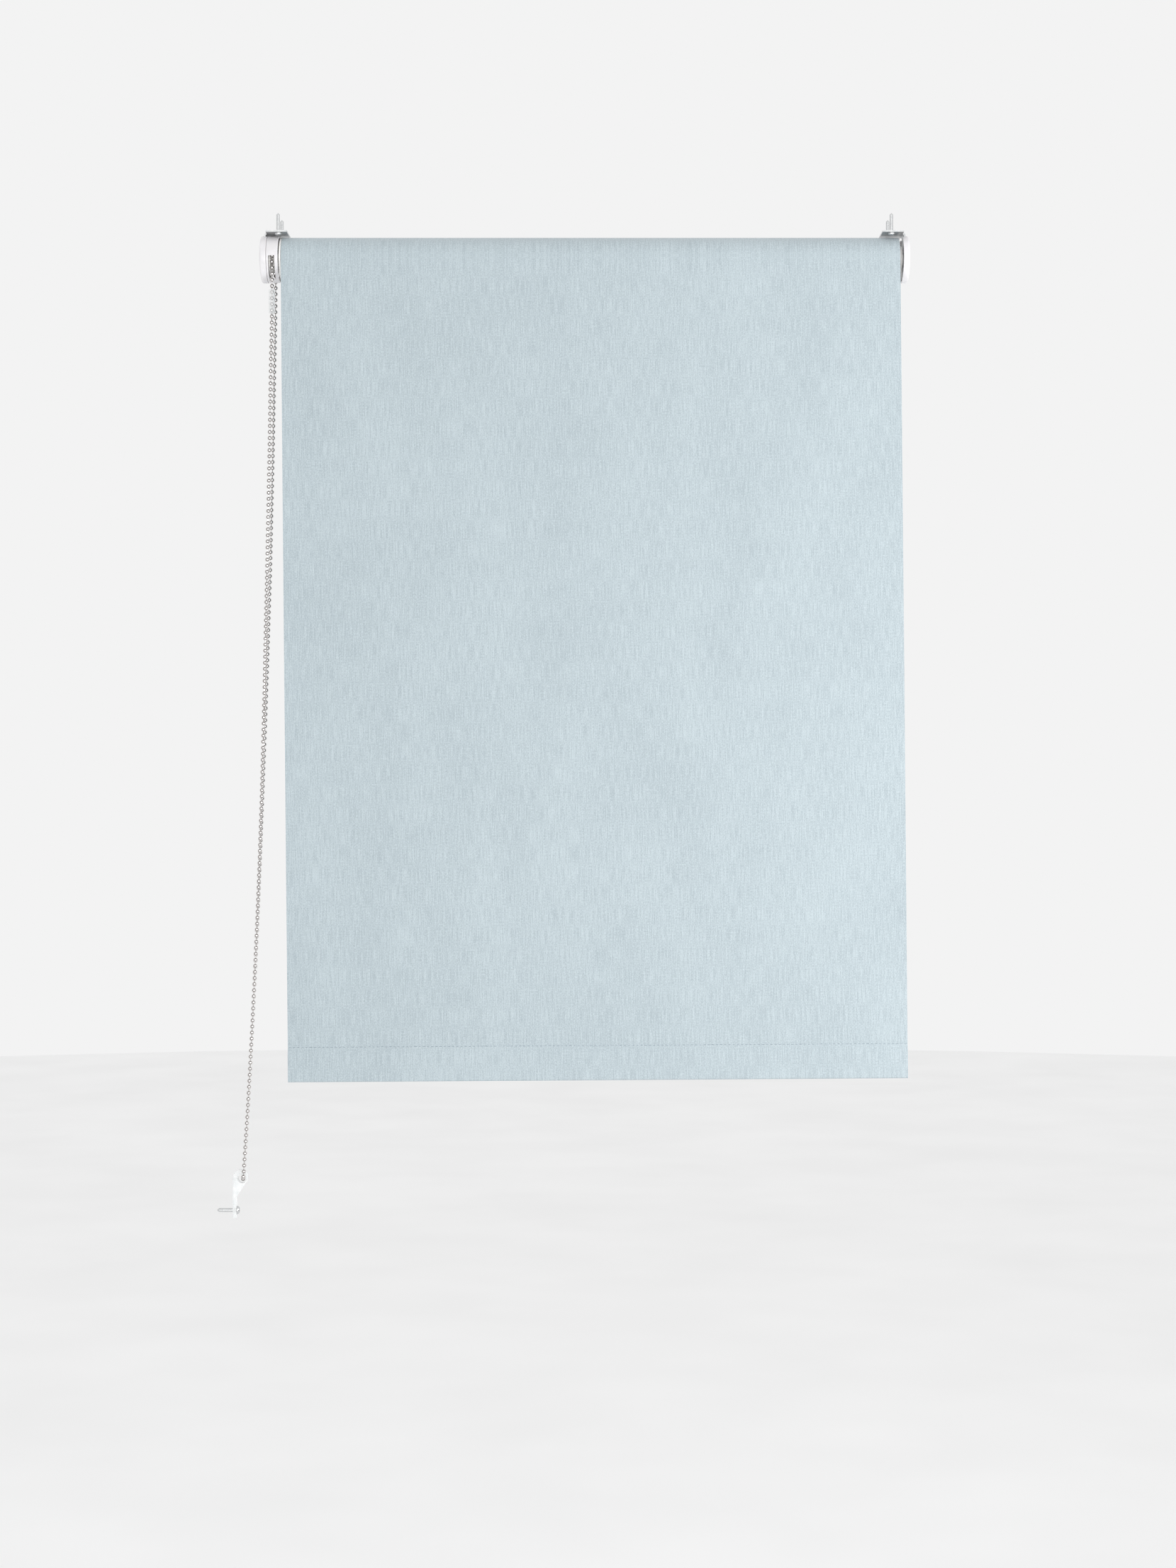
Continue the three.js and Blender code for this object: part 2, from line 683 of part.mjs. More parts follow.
// Pocket of cloth round the lath: two layers at the seam, a loop below it.
function pocketOutline(grow) {
  const middle = hemBottomZ + fabricThickness + seatGap + lathHeight / 2;
  const high = middle + lathHeight / 2;
  const low = middle - lathHeight / 2;
  const reach = lathThickness / 2 + seatGap + grow;
  const seam = Math.max(grow, seamHalfGap);
  const taper = high - hemTaperStart;
  const top = grow > 0 ? hemTopZ : hemTopZ - hemSeam;
  const shape = new THREE.Shape();
  shape.moveTo(dropMidY + seam, top);
  shape.quadraticCurveTo(dropMidY + reach, high + seatGap, dropMidY + reach, taper);
  shape.lineTo(dropMidY + reach, low + reach);
  shape.absarc(dropMidY, low + reach - seatGap - grow, reach, 0, -Math.PI, true);
  shape.lineTo(dropMidY - reach, taper);
  shape.quadraticCurveTo(dropMidY - reach, high + seatGap, dropMidY - seam, top);
  shape.closePath();
  return shape;
}

function hemPocket() {
  const outer = alongX(pocketOutline(fabricThickness), fabricLeftX, fabricRightX, 10);
  const inner = alongX(pocketOutline(0), fabricLeftX - cutOver, fabricRightX + cutOver, 10);
  return outer.subtract(inner);
}

// Flat weight bar with rounded edges.
function bottomLath() {
  const half = lathThickness / 2;
  const low = hemBottomZ + fabricThickness + seatGap + half;
  const high = low + lathHeight - lathThickness;
  const shape = new THREE.Shape();
  shape.moveTo(dropMidY + half, low);
  shape.lineTo(dropMidY + half, high);
  shape.absarc(dropMidY, high, half, 0, Math.PI, false);
  shape.lineTo(dropMidY - half, low);
  shape.absarc(dropMidY, low, half, Math.PI, 2 * Math.PI, false);
  shape.closePath();
  return alongX(shape, fabricLeftX + lathEndGap, fabricRightX - lathEndGap, 8);
}

addPiece('hem_pocket', hemPocket(), ...blueCloth);
addPiece('bottom_lath', bottomLath(), ...whitePlastic);

// ---- idler end ------------------------------------------------------------------------------

const pinCollarRadius = pinRadius + pinCollarStep;
const pinTailRadius = pinRadius - pinTailStep;
const plugBoreRadius = pinCollarRadius + plugBoreRoom;
const plugSleeveRadius = plugBoreRadius + plugSleeveWall;
const plugEndX = capStartX - plugLength;
const collarEndX = bossEndX - plugWall * 2 - runGap;
const collarStartX = collarEndX - pinCollarThickness;
const springRoomX = plugEndX + plugWall;
const pinTipX = plateOuterX + pinTipPastPlate;

function idlerPlug() {
  const idlerBossRadius = tubeRadius - idlerBossStep;
  const idlerCapRadius = tubeRadius - idlerCapInset;
  const body = turned([
    [pinRadius + runGap, bossEndX],
    [idlerBossRadius - idlerBossEdge, bossEndX],
    [idlerBossRadius, bossEndX - idlerBossEdge],
    [idlerBossRadius, capStartX + idlerCapThickness],
    [idlerCapRadius, capStartX + idlerCapThickness],
    [idlerCapRadius, capStartX],
    [plugSleeveRadius, capStartX],
    [plugSleeveRadius, plugEndX],
    [pinTailRadius + runGap, plugEndX],
    [pinTailRadius + runGap, springRoomX],
    [plugBoreRadius, springRoomX],
    [plugBoreRadius, bossEndX - plugWall * 2],
    [pinRadius + runGap, bossEndX - plugWall * 2],
    [pinRadius + runGap, bossEndX],
  ], 36);
  return body.add(ribs(plugSleeveRadius, plugEndX, capStartX + seatGap));
}

function idlerPin() {
  return turned([
    [0, springRoomX + pinTravel / 2],
    [pinTailRadius, springRoomX + pinTravel / 2],
    [pinTailRadius, collarStartX],
    [pinCollarRadius, collarStartX],
    [pinCollarRadius, collarEndX],
    [pinRadius, collarEndX],
    [pinRadius, pinTipX - pinChamfer],
    [pinRadius - pinChamfer, pinTipX],
    [0, pinTipX],
  ], 32);
}

function idlerBush() {
  const bore = pinRadius + runGap;
  const bushFlangeRadius = bushRadius + bushFlangeStep;
  const flangeStart = plateInnerX - seatGap - bushFlangeThickness;
  return turned([
    [bore, flangeStart],
    [bushFlangeRadius, flangeStart],
    [bushFlangeRadius, flangeStart + bushFlangeThickness],
    [bushRadius, flangeStart + bushFlangeThickness],
    [bushRadius, plateOuterX + seatGap],
    [bore, plateOuterX + seatGap],
    [bore, flangeStart],
  ], 36);
}

const idlerSpringRadius = (pinTailRadius + plugBoreRadius) / 2;
const idlerCoil = new Coil(
  idlerSpringRadius,
  springRoomX + idlerSpringWire + seatGap,
  collarStartX - idlerSpringWire - seatGap,
  idlerSpringTurns,
);

addPiece('idler_plug', idlerPlug(), ...whiteNylon);
addPiece('idler_pin', idlerPin(), ...springSteel);
addPiece('idler_spring', wire(idlerCoil, idlerSpringWire, 6, idlerSpringTurns * 10), ...springSteel);
addPiece('idler_bush', idlerBush(), ...whiteNylon);

// ---- bead chain, its connector and its tensioner ------------------------------------------------

// The chain's route, from the connector down the front, under the tensioner, up the back,
// over the wheel and down to the connector again. Each point is (x, y, z) from the middle
// of the wheel's pitch circle.
const connectorTop = -32;
const connectorBottom = -56;
const connectorWall = 0.9;
const connectorRound = 1;
const connectorInset = 0.3;          // its axis inside the wheel's pitch circle
const connectorAside = 0.1;          // its axis towards the side wall
const chainTurn = [-30.6, -913.5];   // (x, z) of the lowest point
const chainRoute = [
  [-0.2, -14.83, connectorBottom - seatGap],
  [-1.3, -14.41, -107.6],
  [-2.4, -13.9, -172],
  [-3.7, -13.36, -239],
  [-5.1, -12.83, -305],
  [-6.7, -12.29, -372],
  [-8.4, -11.69, -447],
  [-10.4, -11.08, -522],
  [-12.6, -10.55, -588],
  [-15.2, -10.02, -654],
  [-18.1, -9.52, -717],
  [-21.3, -9.02, -779],
  [-24.8, -8.52, -841],
  [-27.6, -8.15, -884],
  [-29.0, -8, -905.5],
  [-29.8, -5.66, -911.16],
  [chainTurn[0], 0, chainTurn[1]],
  [-30.9, 5.66, -911.16],
  [-30.9, 8, -905.5],
  [-29.6, 8.15, -884],
  [-26.9, 8.52, -841],
  [-23.6, 9.02, -779],
  [-20.5, 9.52, -717],
  [-17.6, 10.02, -654],
  [-14.9, 10.55, -588],
  [-12.4, 11.08, -522],
  [-9.6, 11.69, -447],
  [-7.2, 12.29, -372],
  [-5.2, 12.83, -305],
  [-3.8, 13.36, -239],
  [-2.4, 13.9, -172],
  [-1.3, 14.41, -107.6],
  [-0.2, 14.95, -45],
  [0, pitchRadius, 0],
];
const wheelSteps = 8;
for (let i = 1; i <= wheelSteps; i += 1) {
  const angle = (Math.PI * i) / wheelSteps;
  chainRoute.push([0, pitchRadius * Math.cos(angle), pitchRadius * Math.sin(angle)]);
}
chainRoute.push([0, -15.1, connectorTop + seatGap]);
const chainPoints = chainRoute.map(([x, y, z]) => new THREE.Vector3(chainX + x, y, axisZ + z));
const chainCurve = new StationCurve(chainPoints);

// Clear sleeve that holds the chain's two end balls.
function chainConnector() {
  const radius = ballRadius + connectorWall;
  const round = connectorRound;
  const top = axisZ + connectorTop;
  const bottom = axisZ + connectorBottom;
  const points = [
    [0, bottom],
    ...arcPoints(radius - round, bottom + round, round, 270, 360, 3),
    ...arcPoints(radius - round, top - round, round, 0, 90, 3),
    [0, top],
  ].map(([r, z]) => new THREE.Vector2(r, z));
  const geometry = new THREE.LatheGeometry(points, 24);
  geometry.rotateX(Math.PI / 2);
  geometry.translate(chainX - connectorAside, connectorInset - pitchRadius, 0);
  return solid(geometry);
}

const clipHoleX = chainX + chainTurn[0] + clipHoleOffset[0];
const clipHoleZ = axisZ + chainTurn[1] + clipHoleOffset[1];
const clipRingRadius = clipHoleRadius + clipRingWall;
const clipRingX = clipHoleX + clipRingOffset[0];
const clipRingZ = clipHoleZ + clipRingOffset[1];
const wallX = clipRingX - clipRingRadius;      // face of the recess's side wall
const clipScrewZ = clipRingZ - clipScrewDrop;
const clipTailX = wallX + clipTailThickness;

// P-shaped clip: a ring for the chain, a flat back against the wall, a tail with the
// screw, and a gusset between ring and tail.
function tensionerClip() {
  const foot = clipScrewZ - clipFootBelowScrew;
  const gussetZ = clipRingZ - clipGussetDrop;
  const round = clipFootRound;
  const shape = new THREE.Shape();
  shape.moveTo(wallX, clipRingZ);
  shape.lineTo(wallX, foot + round);
  shape.absarc(wallX + round, foot + round, round, Math.PI, 1.5 * Math.PI, false);
  shape.lineTo(clipTailX - round, foot);
  shape.absarc(clipTailX - round, foot + round, round, 1.5 * Math.PI, 2 * Math.PI, false);
  shape.lineTo(clipTailX, gussetZ);
  const lean = -Math.PI / 5;
  shape.lineTo(clipRingX + clipRingRadius * Math.cos(lean),
    clipRingZ + clipRingRadius * Math.sin(lean));
  shape.absarc(clipRingX, clipRingZ, clipRingRadius, lean, Math.PI, false);
  shape.closePath();
  const hole = new THREE.Path();
  hole.absarc(clipHoleX, clipHoleZ, clipHoleRadius, 0, 2 * Math.PI, true);
  shape.holes.push(hole);
  const body = alongY(shape, -clipDepth / 2, clipDepth / 2, 24);
  const bore = rodAt(clipScrewRadius + seatGap, wallX - cutOver, clipTailX + cutOver, 0, clipScrewZ);
  return body.subtract(bore);
}

// Slotted pan-head screw into the recess's side wall.
function tensionerScrew() {
  const seatX = clipTailX + seatGap;
  const headX = seatX + clipScrewHeadHeight;
  const crown = clipScrewHeadHeight;
  const points = [
    [0, headX],
    ...arcPoints(clipScrewHeadRadius - crown, seatX, crown, 90, 0),
    [clipScrewRadius, seatX],
    [clipScrewRadius, wallX - clipScrewInWall + clipScrewRadius],
    [0, wallX - clipScrewInWall],
  ];
  const body = turned(points, 24).translate([0, 0, clipScrewZ - axisZ]);
  const half = recessWidth / 2;
  const far = clipScrewHeadRadius + cutOver;
  return body.subtract(box(headX - recessDepth, headX + cutOver, -far, far,
    clipScrewZ - half, clipScrewZ + half));
}

addPiece('bead_chain', wire(chainCurve, ballRadius, 8, 2 * (chainPoints.length - 1)), ...nickel);
addPiece('chain_connector', chainConnector(), ...clearPlastic);
addPiece('tensioner_clip', tensionerClip(), ...clearPlastic);
addPiece('tensioner_screw', tensionerScrew(), ...zincSteel);

export default blind;
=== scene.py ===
from math import atan2, ceil, cos, hypot, pi, radians, sin, tan, tau
from random import Random

import bmesh
import bpy
from mathutils import Matrix, Vector


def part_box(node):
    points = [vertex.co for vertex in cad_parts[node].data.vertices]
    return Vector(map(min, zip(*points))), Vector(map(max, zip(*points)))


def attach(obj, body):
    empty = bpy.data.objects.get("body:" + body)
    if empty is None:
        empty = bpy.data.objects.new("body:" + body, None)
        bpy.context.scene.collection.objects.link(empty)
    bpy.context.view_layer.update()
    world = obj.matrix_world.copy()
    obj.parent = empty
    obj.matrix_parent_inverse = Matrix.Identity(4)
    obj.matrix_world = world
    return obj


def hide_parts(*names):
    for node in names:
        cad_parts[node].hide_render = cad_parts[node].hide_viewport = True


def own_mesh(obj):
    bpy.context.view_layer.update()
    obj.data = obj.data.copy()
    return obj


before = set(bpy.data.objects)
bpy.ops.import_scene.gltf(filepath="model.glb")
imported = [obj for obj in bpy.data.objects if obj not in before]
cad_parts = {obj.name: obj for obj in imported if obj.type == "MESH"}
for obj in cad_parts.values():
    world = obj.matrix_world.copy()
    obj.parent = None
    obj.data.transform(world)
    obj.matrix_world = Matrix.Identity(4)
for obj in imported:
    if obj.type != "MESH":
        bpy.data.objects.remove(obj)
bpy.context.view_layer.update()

# A chain-operated roller blind: cloth on a tube, two capped end brackets, a spring clutch
# and a nickel-plated ball chain held down by a clear clip on the side wall.
# Metres, in the frame's own axes: X along the roller, +Y towards the window, +Z up.

MM = 0.001
FIT_GAP = 0.3 * MM           # between pieces that rest or fit together
WELD = 0.002 * MM            # points nearer than this are one point

# ---- sizes taken from the frame ----------------------------------------------------------------


def corners(node):
    """A node's lowest and highest corner."""
    low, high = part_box(node)
    return Vector(low), Vector(high)


roll_low, roll_high = corners("fabric_roll")
drop_low, drop_high = corners("fabric_drop")
hem_low, hem_high = corners("hem_pocket")
wheel_low, wheel_high = corners("chain_wheel")
housing_low, housing_high = corners("clutch_housing")
crown_low, crown_high = corners("drive_crown")
plug_low, plug_high = corners("idler_plug")
coil_low, coil_high = corners("idler_spring")
tube_low, tube_high = corners("roller_tube")
lath_low, lath_high = corners("bottom_lath")
clip_low, clip_high = corners("tensioner_clip")
cap_low, cap_high = corners("idler_cover")
plate_low, plate_high = corners("idler_bracket")
link_low, link_high = corners("chain_connector")

axis_z = (roll_low.z + roll_high.z) / 2
tube_radius = (tube_high.y - tube_low.y) / 2

# ---- camera ------------------------------------------------------------------------------------

CAMERA_PLACE = Vector((0.0032, -2.5, -0.546))
CAMERA_SENSOR = 24.0
FOCAL_IN_FRAME_HEIGHTS = 1.604
CLIP_NEAR = 0.05
CLIP_FAR = 60


def place_camera():
    """The camera: level, facing the blind from the room."""
    data = bpy.data.cameras.new("front_camera")
    data.sensor_fit = "VERTICAL"
    data.sensor_height = CAMERA_SENSOR
    data.lens = CAMERA_SENSOR * FOCAL_IN_FRAME_HEIGHTS
    data.clip_start = CLIP_NEAR
    data.clip_end = CLIP_FAR
    camera = bpy.data.objects.new("front_camera", data)
    camera.location = CAMERA_PLACE
    camera.rotation_euler = (pi / 2, 0, 0)
    bpy.context.scene.collection.objects.link(camera)
    bpy.context.scene.camera = camera


place_camera()

# ---- materials ---------------------------------------------------------------------------------


def colour(code):
    """An sRGB hex colour as linear RGBA."""
    parts = [int(code[i:i + 2], 16) / 255 for i in (1, 3, 5)]
    linear = [p / 12.92 if p <= 0.04045 else ((p + 0.055) / 1.055) ** 2.4 for p in parts]
    return (*linear, 1.0)


def add_node(tree, kind, settings=None, **inputs):
    """Add a node, set its properties and fill its inputs with values or other outputs."""
    node = tree.nodes.new(kind)
    for name, value in (settings or {}).items():
        setattr(node, name, value)
    for key, value in inputs.items():
        socket = node.inputs[int(key[1:])] if key[0] == "i" and key[1:].isdigit() else (
            node.inputs[key.replace("_", " ")])
        if isinstance(value, bpy.types.NodeSocket):
            tree.links.new(value, socket)
        else:
            socket.default_value = value
    return node


def new_material(name, **shader_inputs):
    """A material with one Principled shader; returns it with its tree and shader."""
    material = bpy.data.materials.new(name)
    material.use_nodes = True
    tree = material.node_tree
    tree.nodes.clear()
    shader = add_node(tree, "ShaderNodeBsdfPrincipled", None, **shader_inputs)
    output = add_node(tree, "ShaderNodeOutputMaterial")
    tree.links.new(shader.outputs["BSDF"], output.inputs["Surface"])
    return material, tree, shader


def object_noise(tree, size, detail=3.0, roughness=0.5, stretch=(1, 1, 1)):
    """Noise on object coordinates whose grain is about size metres across."""
    place = add_node(tree, "ShaderNodeTexCoord")
    scaled = add_node(tree, "ShaderNodeMapping", None, Vector=place.outputs["Object"],
                      Scale=tuple(s / size for s in stretch))
    return add_node(tree, "ShaderNodeTexNoise", None, Vector=scaled.outputs["Vector"],
                    Scale=1.0, Detail=detail, Roughness=roughness)


def ramp_between(tree, factor, low, high, dark, light):
    """Factor from low to high, turned into a colour from dark to light."""
    ramp = add_node(tree, "ShaderNodeMapRange", None, Value=factor)
    ramp.inputs["From Min"].default_value = low
    ramp.inputs["From Max"].default_value = high
    mix = add_node(tree, "ShaderNodeMix", {"data_type": "RGBA"}, Factor=ramp.outputs["Result"])
    mix.inputs[6].default_value = dark
    mix.inputs[7].default_value = light
    return mix.outputs[2]


def bumped(tree, shader, height, strength, distance):
    """Relief on the shader's surface from a height."""
    bump = add_node(tree, "ShaderNodeBump", None, Height=height, Strength=strength,
                    Distance=distance)
    tree.links.new(bump.outputs["Normal"], shader.inputs["Normal"])


def moulded_abs():
    """Injection-moulded ABS: satin white, a fine spark-eroded texture, a soft long gloss."""
    material, tree, shader = new_material(
        "moulded_white_abs", IOR=1.53, Roughness=0.34, Subsurface_Weight=0.35,
        Subsurface_Radius=(1.0, 0.95, 0.9), Subsurface_Scale=4 * MM)
    tone = object_noise(tree, 9 * MM, detail=2)
    shade = ramp_between(tree, tone.outputs["Fac"], 0.35, 0.65,
                         colour("#dfdddf"), colour("#e5e3e5"))
    tree.links.new(shade, shader.inputs["Base Color"])
    grain = object_noise(tree, 0.35 * MM, detail=4)
    gloss = add_node(tree, "ShaderNodeMapRange", None, Value=grain.outputs["Fac"])
    gloss.inputs["To Min"].default_value = 0.27
    gloss.inputs["To Max"].default_value = 0.42
    tree.links.new(gloss.outputs["Result"], shader.inputs["Roughness"])
    bumped(tree, shader, grain.outputs["Fac"], 0.25, 0.02 * MM)
    return material


def moulded_nylon():
    """Glass-filled nylon: off-white and dull, with faint flow marks."""
    material, tree, shader = new_material("moulded_white_nylon", IOR=1.53, Roughness=0.5)
    flow = object_noise(tree, 4 * MM, detail=4, stretch=(0.4, 1, 1))
    shade = ramp_between(tree, flow.outputs["Fac"], 0.3, 0.7,
                         colour("#f3f2ef"), colour("#fbfaf8"))
    tree.links.new(shade, shader.inputs["Base Color"])
    bumped(tree, shader, flow.outputs["Fac"], 0.3, 0.05 * MM)
    return material


def metal(name, dark, light, rough_low, rough_high, size, stretch=(1, 1, 1), relief=0.02):
    """Metal whose tone and gloss vary with the way its surface was made."""
    material, tree, shader = new_material(name, Metallic=1.0)
    grain = object_noise(tree, size, detail=5, roughness=0.6, stretch=stretch)
    shade = ramp_between(tree, grain.outputs["Fac"], 0.3, 0.7, colour(dark), colour(light))
    tree.links.new(shade, shader.inputs["Base Color"])
    gloss = add_node(tree, "ShaderNodeMapRange", None, Value=grain.outputs["Fac"])
    gloss.inputs["From Min"].default_value = 0.3
    gloss.inputs["From Max"].default_value = 0.7
    gloss.inputs["To Min"].default_value = rough_low
    gloss.inputs["To Max"].default_value = rough_high
    tree.links.new(gloss.outputs["Result"], shader.inputs["Roughness"])
    bumped(tree, shader, grain.outputs["Fac"], 0.3, relief * MM)
    return material


def clear_plastic(name, face_alpha, rim_alpha):
    """Clear moulding: see-through face on; a painted edge reflection makes it whiter and more
    opaque towards its outline.
    """
    material, tree, shader = new_material(name, IOR=1.5, Roughness=0.14)
    cloud = object_noise(tree, 5 * MM, detail=2)
    shade = ramp_between(tree, cloud.outputs["Fac"], 0.3, 0.7,
                         colour("#e9edee"), colour("#fbfcfc"))
    tree.links.new(shade, shader.inputs["Base Color"])
    # painted edge reflection: opacity rises as the surface turns away from the camera
    rim = add_node(tree, "ShaderNodeLayerWeight", None, Blend=0.4)
    veil = add_node(tree, "ShaderNodeMapRange", None, Value=rim.outputs["Facing"])
    veil.inputs["To Min"].default_value = face_alpha
    veil.inputs["To Max"].default_value = rim_alpha
    tree.links.new(veil.outputs["Result"], shader.inputs["Alpha"])
    bumped(tree, shader, cloud.outputs["Fac"], 0.2, 0.05 * MM)
    return material


def polished_balls():
    """Nickel-plated steel balls with their reflection painted into the colour: by the view
    angle, each ball is bright in its middle and at its rim, with a darker ring between them."""
    material, tree, shader = new_material("nickel_plated_balls", Metallic=1.0)
    view = add_node(tree, "ShaderNodeLayerWeight", None, Blend=0.5)
    # painted reflection: colour set by how squarely the surface faces the camera
    ring = add_node(tree, "ShaderNodeValToRGB", None, Fac=view.outputs["Facing"])
    reflection_stops = [(0.0, "#f4f3f3"), (0.05, "#f0eeed"), (0.12, "#96908d"), (0.22, "#86807d"),
             (0.34, "#c9c6c4"), (0.48, "#e9e7e6"), (1.0, "#f0eeed")]
    ramp = ring.color_ramp
    ramp.elements[0].position, ramp.elements[1].position = 0.0, 1.0
    for place, _ in reflection_stops[1:-1]:
        ramp.elements.new(place)
    for element, (_, code) in zip(ramp.elements, reflection_stops):
        element.color = colour(code)
    tree.links.new(ring.outputs["Color"], shader.inputs["Base Color"])
    dulling = object_noise(tree, 1.4 * MM, detail=3)
    gloss = add_node(tree, "ShaderNodeMapRange", None, Value=dulling.outputs["Fac"])
    gloss.inputs["To Min"].default_value = 0.1
    gloss.inputs["To Max"].default_value = 0.26
    tree.links.new(gloss.outputs["Result"], shader.inputs["Roughness"])
    bumped(tree, shader, dulling.outputs["Fac"], 0.15, 0.02 * MM)
    return material


WARP_PITCH = 0.62 * MM
WEFT_PITCH = 0.7 * MM
SLUB_WIDTH = 0.85 * MM
SLUB_LENGTH = 20 * MM
NUB_SIZE = (0.8 * MM, 1.6 * MM)      # across and along the warp
KNOT_SIZE = (0.7 * MM, 1.7 * MM)
BLOTCH_SIZE = (60 * MM, 140 * MM)
WAVE_TO_PITCH = 20                   # the wave texture's bands to a unit of its scale


def linen_weave():
    """Linen-look roller cloth: plain weave of slub yarn, duck-egg blue, matt, stiffened.

    The slubs show as short light and dark streaks along the warp, fainter ones across it.
    The pattern reads the sheet's own UV map, which is in metres of cloth."""
    material, tree, shader = new_material(
        "woven_slub_polyester", Roughness=0.88, IOR=1.45, Sheen_Weight=0.25,
        Sheen_Roughness=0.5)
    cloth = add_node(tree, "ShaderNodeUVMap", {"uv_map": "cloth"})

    def streaks(across, along, detail, offset):
        """Noise whose grain is across by along metres of cloth."""
        scaled = add_node(tree, "ShaderNodeMapping", None, Vector=cloth.outputs["UV"],
                          Location=(offset, 0, 0), Scale=(1 / across, 1 / along, 1))
        return add_node(tree, "ShaderNodeTexNoise", None, Vector=scaled.outputs["Vector"],
                        Scale=1.0, Detail=detail, Roughness=0.6).outputs["Fac"]

    warp = streaks(SLUB_WIDTH, SLUB_LENGTH, 3, 0.0)
    weft = streaks(SLUB_LENGTH * 0.8, SLUB_WIDTH, 3, 7.3)
    nubs = streaks(*NUB_SIZE, 2, 3.1)
    knots = add_node(tree, "ShaderNodeMapRange", None,
                     Value=streaks(*KNOT_SIZE, 1, 19.7))
    knots.inputs["From Min"].default_value = 0.62
    knots.inputs["From Max"].default_value = 0.7
    blotch = streaks(*BLOTCH_SIZE, 2, 11.0)

    def weighted(first, second, weight):
        scaled = add_node(tree, "ShaderNodeMath", {"operation": "MULTIPLY"}, i0=second, i1=weight)
        return add_node(tree, "ShaderNodeMath", {"operation": "ADD"},
                        i0=first, i1=scaled.outputs[0]).outputs[0]

    total = weighted(warp, weft, 0.22)
    total = weighted(total, nubs, 1.0)
    total = weighted(total, knots.outputs["Result"], 0.4)
    total = weighted(total, blotch, 0.25)
    shade = ramp_between(tree, total, 1.05, 1.45, colour("#a1adb3"), colour("#bac6cb"))
    tree.links.new(shade, shader.inputs["Base Color"])

    def threads(axis, pitch):
        """The bands of threads that lie side by side along an axis."""
        wave = add_node(tree, "ShaderNodeTexWave",
                        {"wave_type": "BANDS", "bands_direction": axis},
                        Vector=cloth.outputs["UV"], Scale=tau / (WAVE_TO_PITCH * pitch),
                        Distortion=0.6, Detail=1.0)
        return wave.outputs["Fac"]

    weave = weighted(threads("X", WARP_PITCH), threads("Y", WEFT_PITCH), 1.0)
    relief = weighted(weave, total, 1.6)
    bumped(tree, shader, relief, 0.45, 0.12 * MM)
    return material


def sewing_thread():
    """Twisted polyester thread: darker than the cloth, matt."""
    material, tree, shader = new_material("polyester_thread", Roughness=0.7, Sheen_Weight=0.2)
    twist = object_noise(tree, 0.6 * MM, detail=2)
    shade = ramp_between(tree, twist.outputs["Fac"], 0.35, 0.65,
                         colour("#5d6b76"), colour("#8593a0"))
    tree.links.new(shade, shader.inputs["Base Color"])
    return material


def floor_paint():
    """Matt paint for the floor."""
    material, tree, shader = new_material("pale_floor", Roughness=0.95)
    tone = object_noise(tree, 0.4, detail=2)
    shade = ramp_between(tree, tone.outputs["Fac"], 0.2, 0.8,
                         colour("#f4f4f4"), colour("#fafafa"))
    tree.links.new(shade, shader.inputs["Base Color"])
    return material


ABS = moulded_abs()
NYLON = moulded_nylon()
ZINC = metal("zinc_plated_steel", "#c3c5c6", "#dcdddd", 0.35, 0.5, 2.5 * MM, relief=0.01)
SCREW_ZINC = metal("zinc_plated_screw", "#c0c2c3", "#dedfdf", 0.3, 0.42, 1.2 * MM)
WIRE = metal("drawn_spring_wire", "#8c8e90", "#b0b2b4", 0.2, 0.35, 1 * MM, stretch=(0.3, 1, 1))
NICKEL = polished_balls()
ALUMINIUM = metal("extruded_aluminium", "#a7aaad", "#c6c8ca", 0.28, 0.42, 0.8 * MM,
                  stretch=(0.02, 1, 1))
CLEAR_SLEEVE = clear_plastic("clear_polycarbonate", 0.22, 0.6)
CLEAR_CLIP = clear_plastic("clear_moulded_nylon", 0.5, 0.95)
CLOTH = linen_weave()
THREAD = sewing_thread()

# ---- making pieces -----------------------------------------------------------------------------

SMOOTH_BELOW = radians(32)


def finish_piece(name, bm, material, body, replaces=(), sharp=SMOOTH_BELOW):
    """Turn a bmesh into an object that rides on a body and stands for CAD nodes."""
    mesh = bpy.data.meshes.new(name)
    bm.to_mesh(mesh)
    bm.free()
    mesh.shade_smooth()
    mesh.set_sharp_from_angle(angle=sharp)
    mesh.materials.append(material)
    piece = bpy.data.objects.new(name, mesh)
    bpy.context.scene.collection.objects.link(piece)
    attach(piece, body)
    if replaces:
        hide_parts(*replaces)
    return piece


def rounded(points, steps=5):
    """An open or closed outline with its corners filleted: each point is (a, b, radius)."""
    outline = []
    count = len(points)
    for i, (a, b, radius) in enumerate(points):
        here = Vector((a, b))
        before = Vector(points[i - 1][:2]) - here
        after = Vector(points[(i + 1) % count][:2]) - here
        if radius <= 0 or before.length == 0 or after.length == 0:
            outline.append(here)
            continue
        half = before.angle(after) / 2
        reach = min(radius / tan(half), 0.49 * before.length, 0.49 * after.length)
        start = here + before.normalized() * reach
        end = here + after.normalized() * reach
        for k in range(steps + 1):
            t = k / steps
            outline.append(start * (1 - t) ** 2 + here * 2 * t * (1 - t) + end * t ** 2)
    return outline


def spun(profile, centre, axis, steps):
    """A closed profile, a list of points, spun all the way about an axis."""
    bm = bmesh.new()
    ring = [bm.verts.new(point) for point in profile]
    edges = [bm.edges.new((ring[i - 1], ring[i])) for i in range(len(ring))]
    bmesh.ops.spin(bm, geom=ring + edges, cent=centre, axis=axis,
                   angle=tau, steps=steps, use_merge=True)
    bmesh.ops.remove_doubles(bm, verts=bm.verts, dist=WELD)
    bmesh.ops.recalc_face_normals(bm, faces=bm.faces)
    return bm


